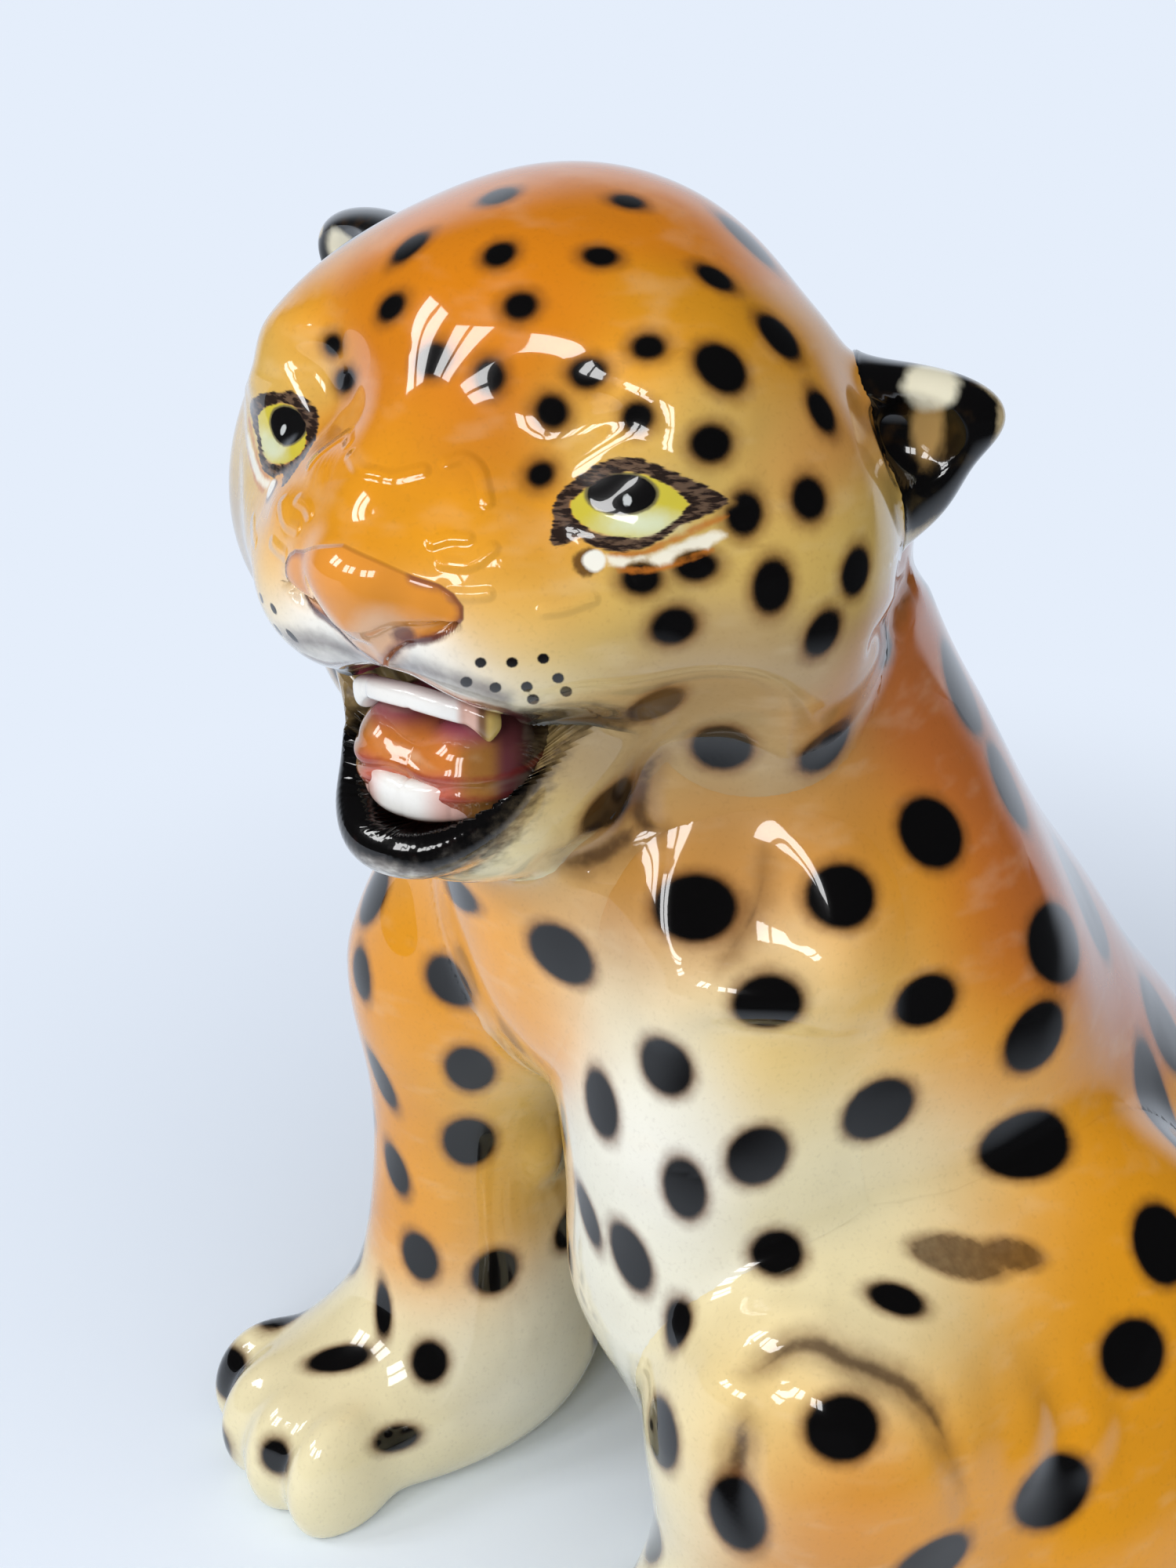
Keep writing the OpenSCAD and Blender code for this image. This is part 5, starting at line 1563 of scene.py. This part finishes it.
paper = bpy.data.materials.new("pale_paper")
paper.use_nodes = True
paper.node_tree.nodes.clear()
wired(paper.node_tree,
      ("ShaderNodeTexCoord", {}, {}),
      ("ShaderNodeVectorMath", {"operation": "LENGTH"}, {0: (0, "Object")}),
      ("ShaderNodeMapRange", {"interpolation_type": "SMOOTHSTEP"},
       {"Value": (1, "Value"), "From Min": FADE_FROM, "From Max": FADE_TO}),
      ("ShaderNodeLightPath", {}, {}),
      ("ShaderNodeMath", {"operation": "MAXIMUM"}, {0: (3, "Is Camera Ray"), 1: (3, "Is Glossy Ray")}),
      ("ShaderNodeMath", {"operation": "MULTIPLY"}, {0: (2, "Result"), 1: (4, 0)}),
      ("ShaderNodeVectorMath", {"operation": "DOT_PRODUCT"}, {0: (0, "Object"), 1: (0.985, 0.174, 0.0)}),
      ("ShaderNodeMapRange", {"interpolation_type": "SMOOTHSTEP"},
       {"Value": (6, "Value"), "From Min": -0.02, "From Max": 0.22, "To Min": 0.92, "To Max": 0.04}),
      ("ShaderNodeMath", {"operation": "MAXIMUM"}, {0: (3, "Is Camera Ray"), 1: (7, "Result")}),
      ("ShaderNodeBsdfDiffuse", {}, {"Color": PAPER}),
      ("ShaderNodeEmission", {}, {"Color": BACKDROP, "Strength": (8, 0)}),
      ("ShaderNodeMixShader", {}, {0: (5, 0), 1: (9, 0), 2: (10, 0)}),
      ("ShaderNodeOutputMaterial", {}, {"Surface": (11, 0)}))
floor_mesh.materials.append(paper)
print("floor", 2 * FLOOR_HALF, "m wide, fading into the backdrop from", FADE_FROM, "m on")

# %% Room light and lamps
room = bpy.data.worlds.new("room")
bpy.context.scene.world = room
room.use_nodes = True
room.node_tree.nodes.clear()
wired(room.node_tree,
      ("ShaderNodeTexCoord", {}, {}),
      ("ShaderNodeVectorMath", {"operation": "DOT_PRODUCT"},
       {0: (0, "Generated"), 1: tuple(-back)}),
      ("ShaderNodeMapRange", {"interpolation_type": "SMOOTHSTEP"},
       {"Value": (1, "Value"), "From Min": 0.32, "From Max": 0.66, "To Min": 0.025, "To Max": 0.90}),
      ("ShaderNodeLightPath", {}, {}),
      ("ShaderNodeBackground", {}, {"Color": tint(246, 248, 255), "Strength": 0.36}),
      ("ShaderNodeBackground", {}, {"Color": BACKDROP, "Strength": (2, "Result")}),
      ("ShaderNodeBackground", {}, {"Color": BACKDROP, "Strength": 1.0}),
      ("ShaderNodeMixShader", {}, {0: (3, "Is Glossy Ray"), 1: (4, 0), 2: (5, 0)}),
      ("ShaderNodeMixShader", {}, {0: (3, "Is Camera Ray"), 1: (7, 0), 2: (6, 0)}),
      ("ShaderNodeOutputWorld", {}, {"Surface": (8, 0)}))
bpy.context.scene.view_settings.view_transform = "Standard"


def lamp(name, middle, toward, width, height, watts):
    """A rectangular lamp whose face looks from middle toward a point."""
    light = bpy.data.lights.new(name, "AREA")
    light.shape = "RECTANGLE"
    light.size, light.size_y = width, height
    light.energy = watts
    look = unit(np.asarray(middle, float) - np.asarray(toward, float))
    side = unit(np.cross(UP, look))
    pose = np.eye(4)
    pose[:3, 0], pose[:3, 1], pose[:3, 2], pose[:3, 3] = side, np.cross(look, side), look, middle
    obj = bpy.data.objects.new(name, light)
    bpy.context.scene.collection.objects.link(obj)
    obj.matrix_world = Matrix(pose.tolist())
    return obj


SUBJECT = np.array([0.0, -0.06, 0.14])
WINDOWS, WINDOW_AWAY = [(-12, 34), (20, 31), (50, 27)], 0.95
PANE_W, PANE_H, PANE_SHIFT, PANE_WATTS = 0.118, 0.245, 0.075, 1.1
for k, (az, el) in enumerate(np.radians(WINDOWS)):
    window = SUBJECT + WINDOW_AWAY * np.array([np.sin(az) * np.cos(el), -np.cos(az) * np.cos(el), np.sin(el)])
    across = np.array([np.cos(az), np.sin(az), 0.0])
    for side in (-1, 1):
        pane = window + across * side * PANE_SHIFT
        lamp(f"pane_{k}{side}", pane, pane + (SUBJECT - window), PANE_W, PANE_H, PANE_WATTS)
ceiling = lamp("ceiling", (0.6, 0.05, 1.3), (0, -0.05, 0.08), 1.4, 1.4, 6.4)
ceiling.visible_glossy = False
print(len(WINDOWS), "windows of two panes, and a soft ceiling that the glaze doesn't mirror")

# %% Ride on the frame
for node, skin in skins.items():
    piece = skin["piece"]
    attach(piece, "root")
    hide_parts(node)
print(len(skins), "pieces ride on the frame")

# %% Finish
bpy.context.view_layer.update()
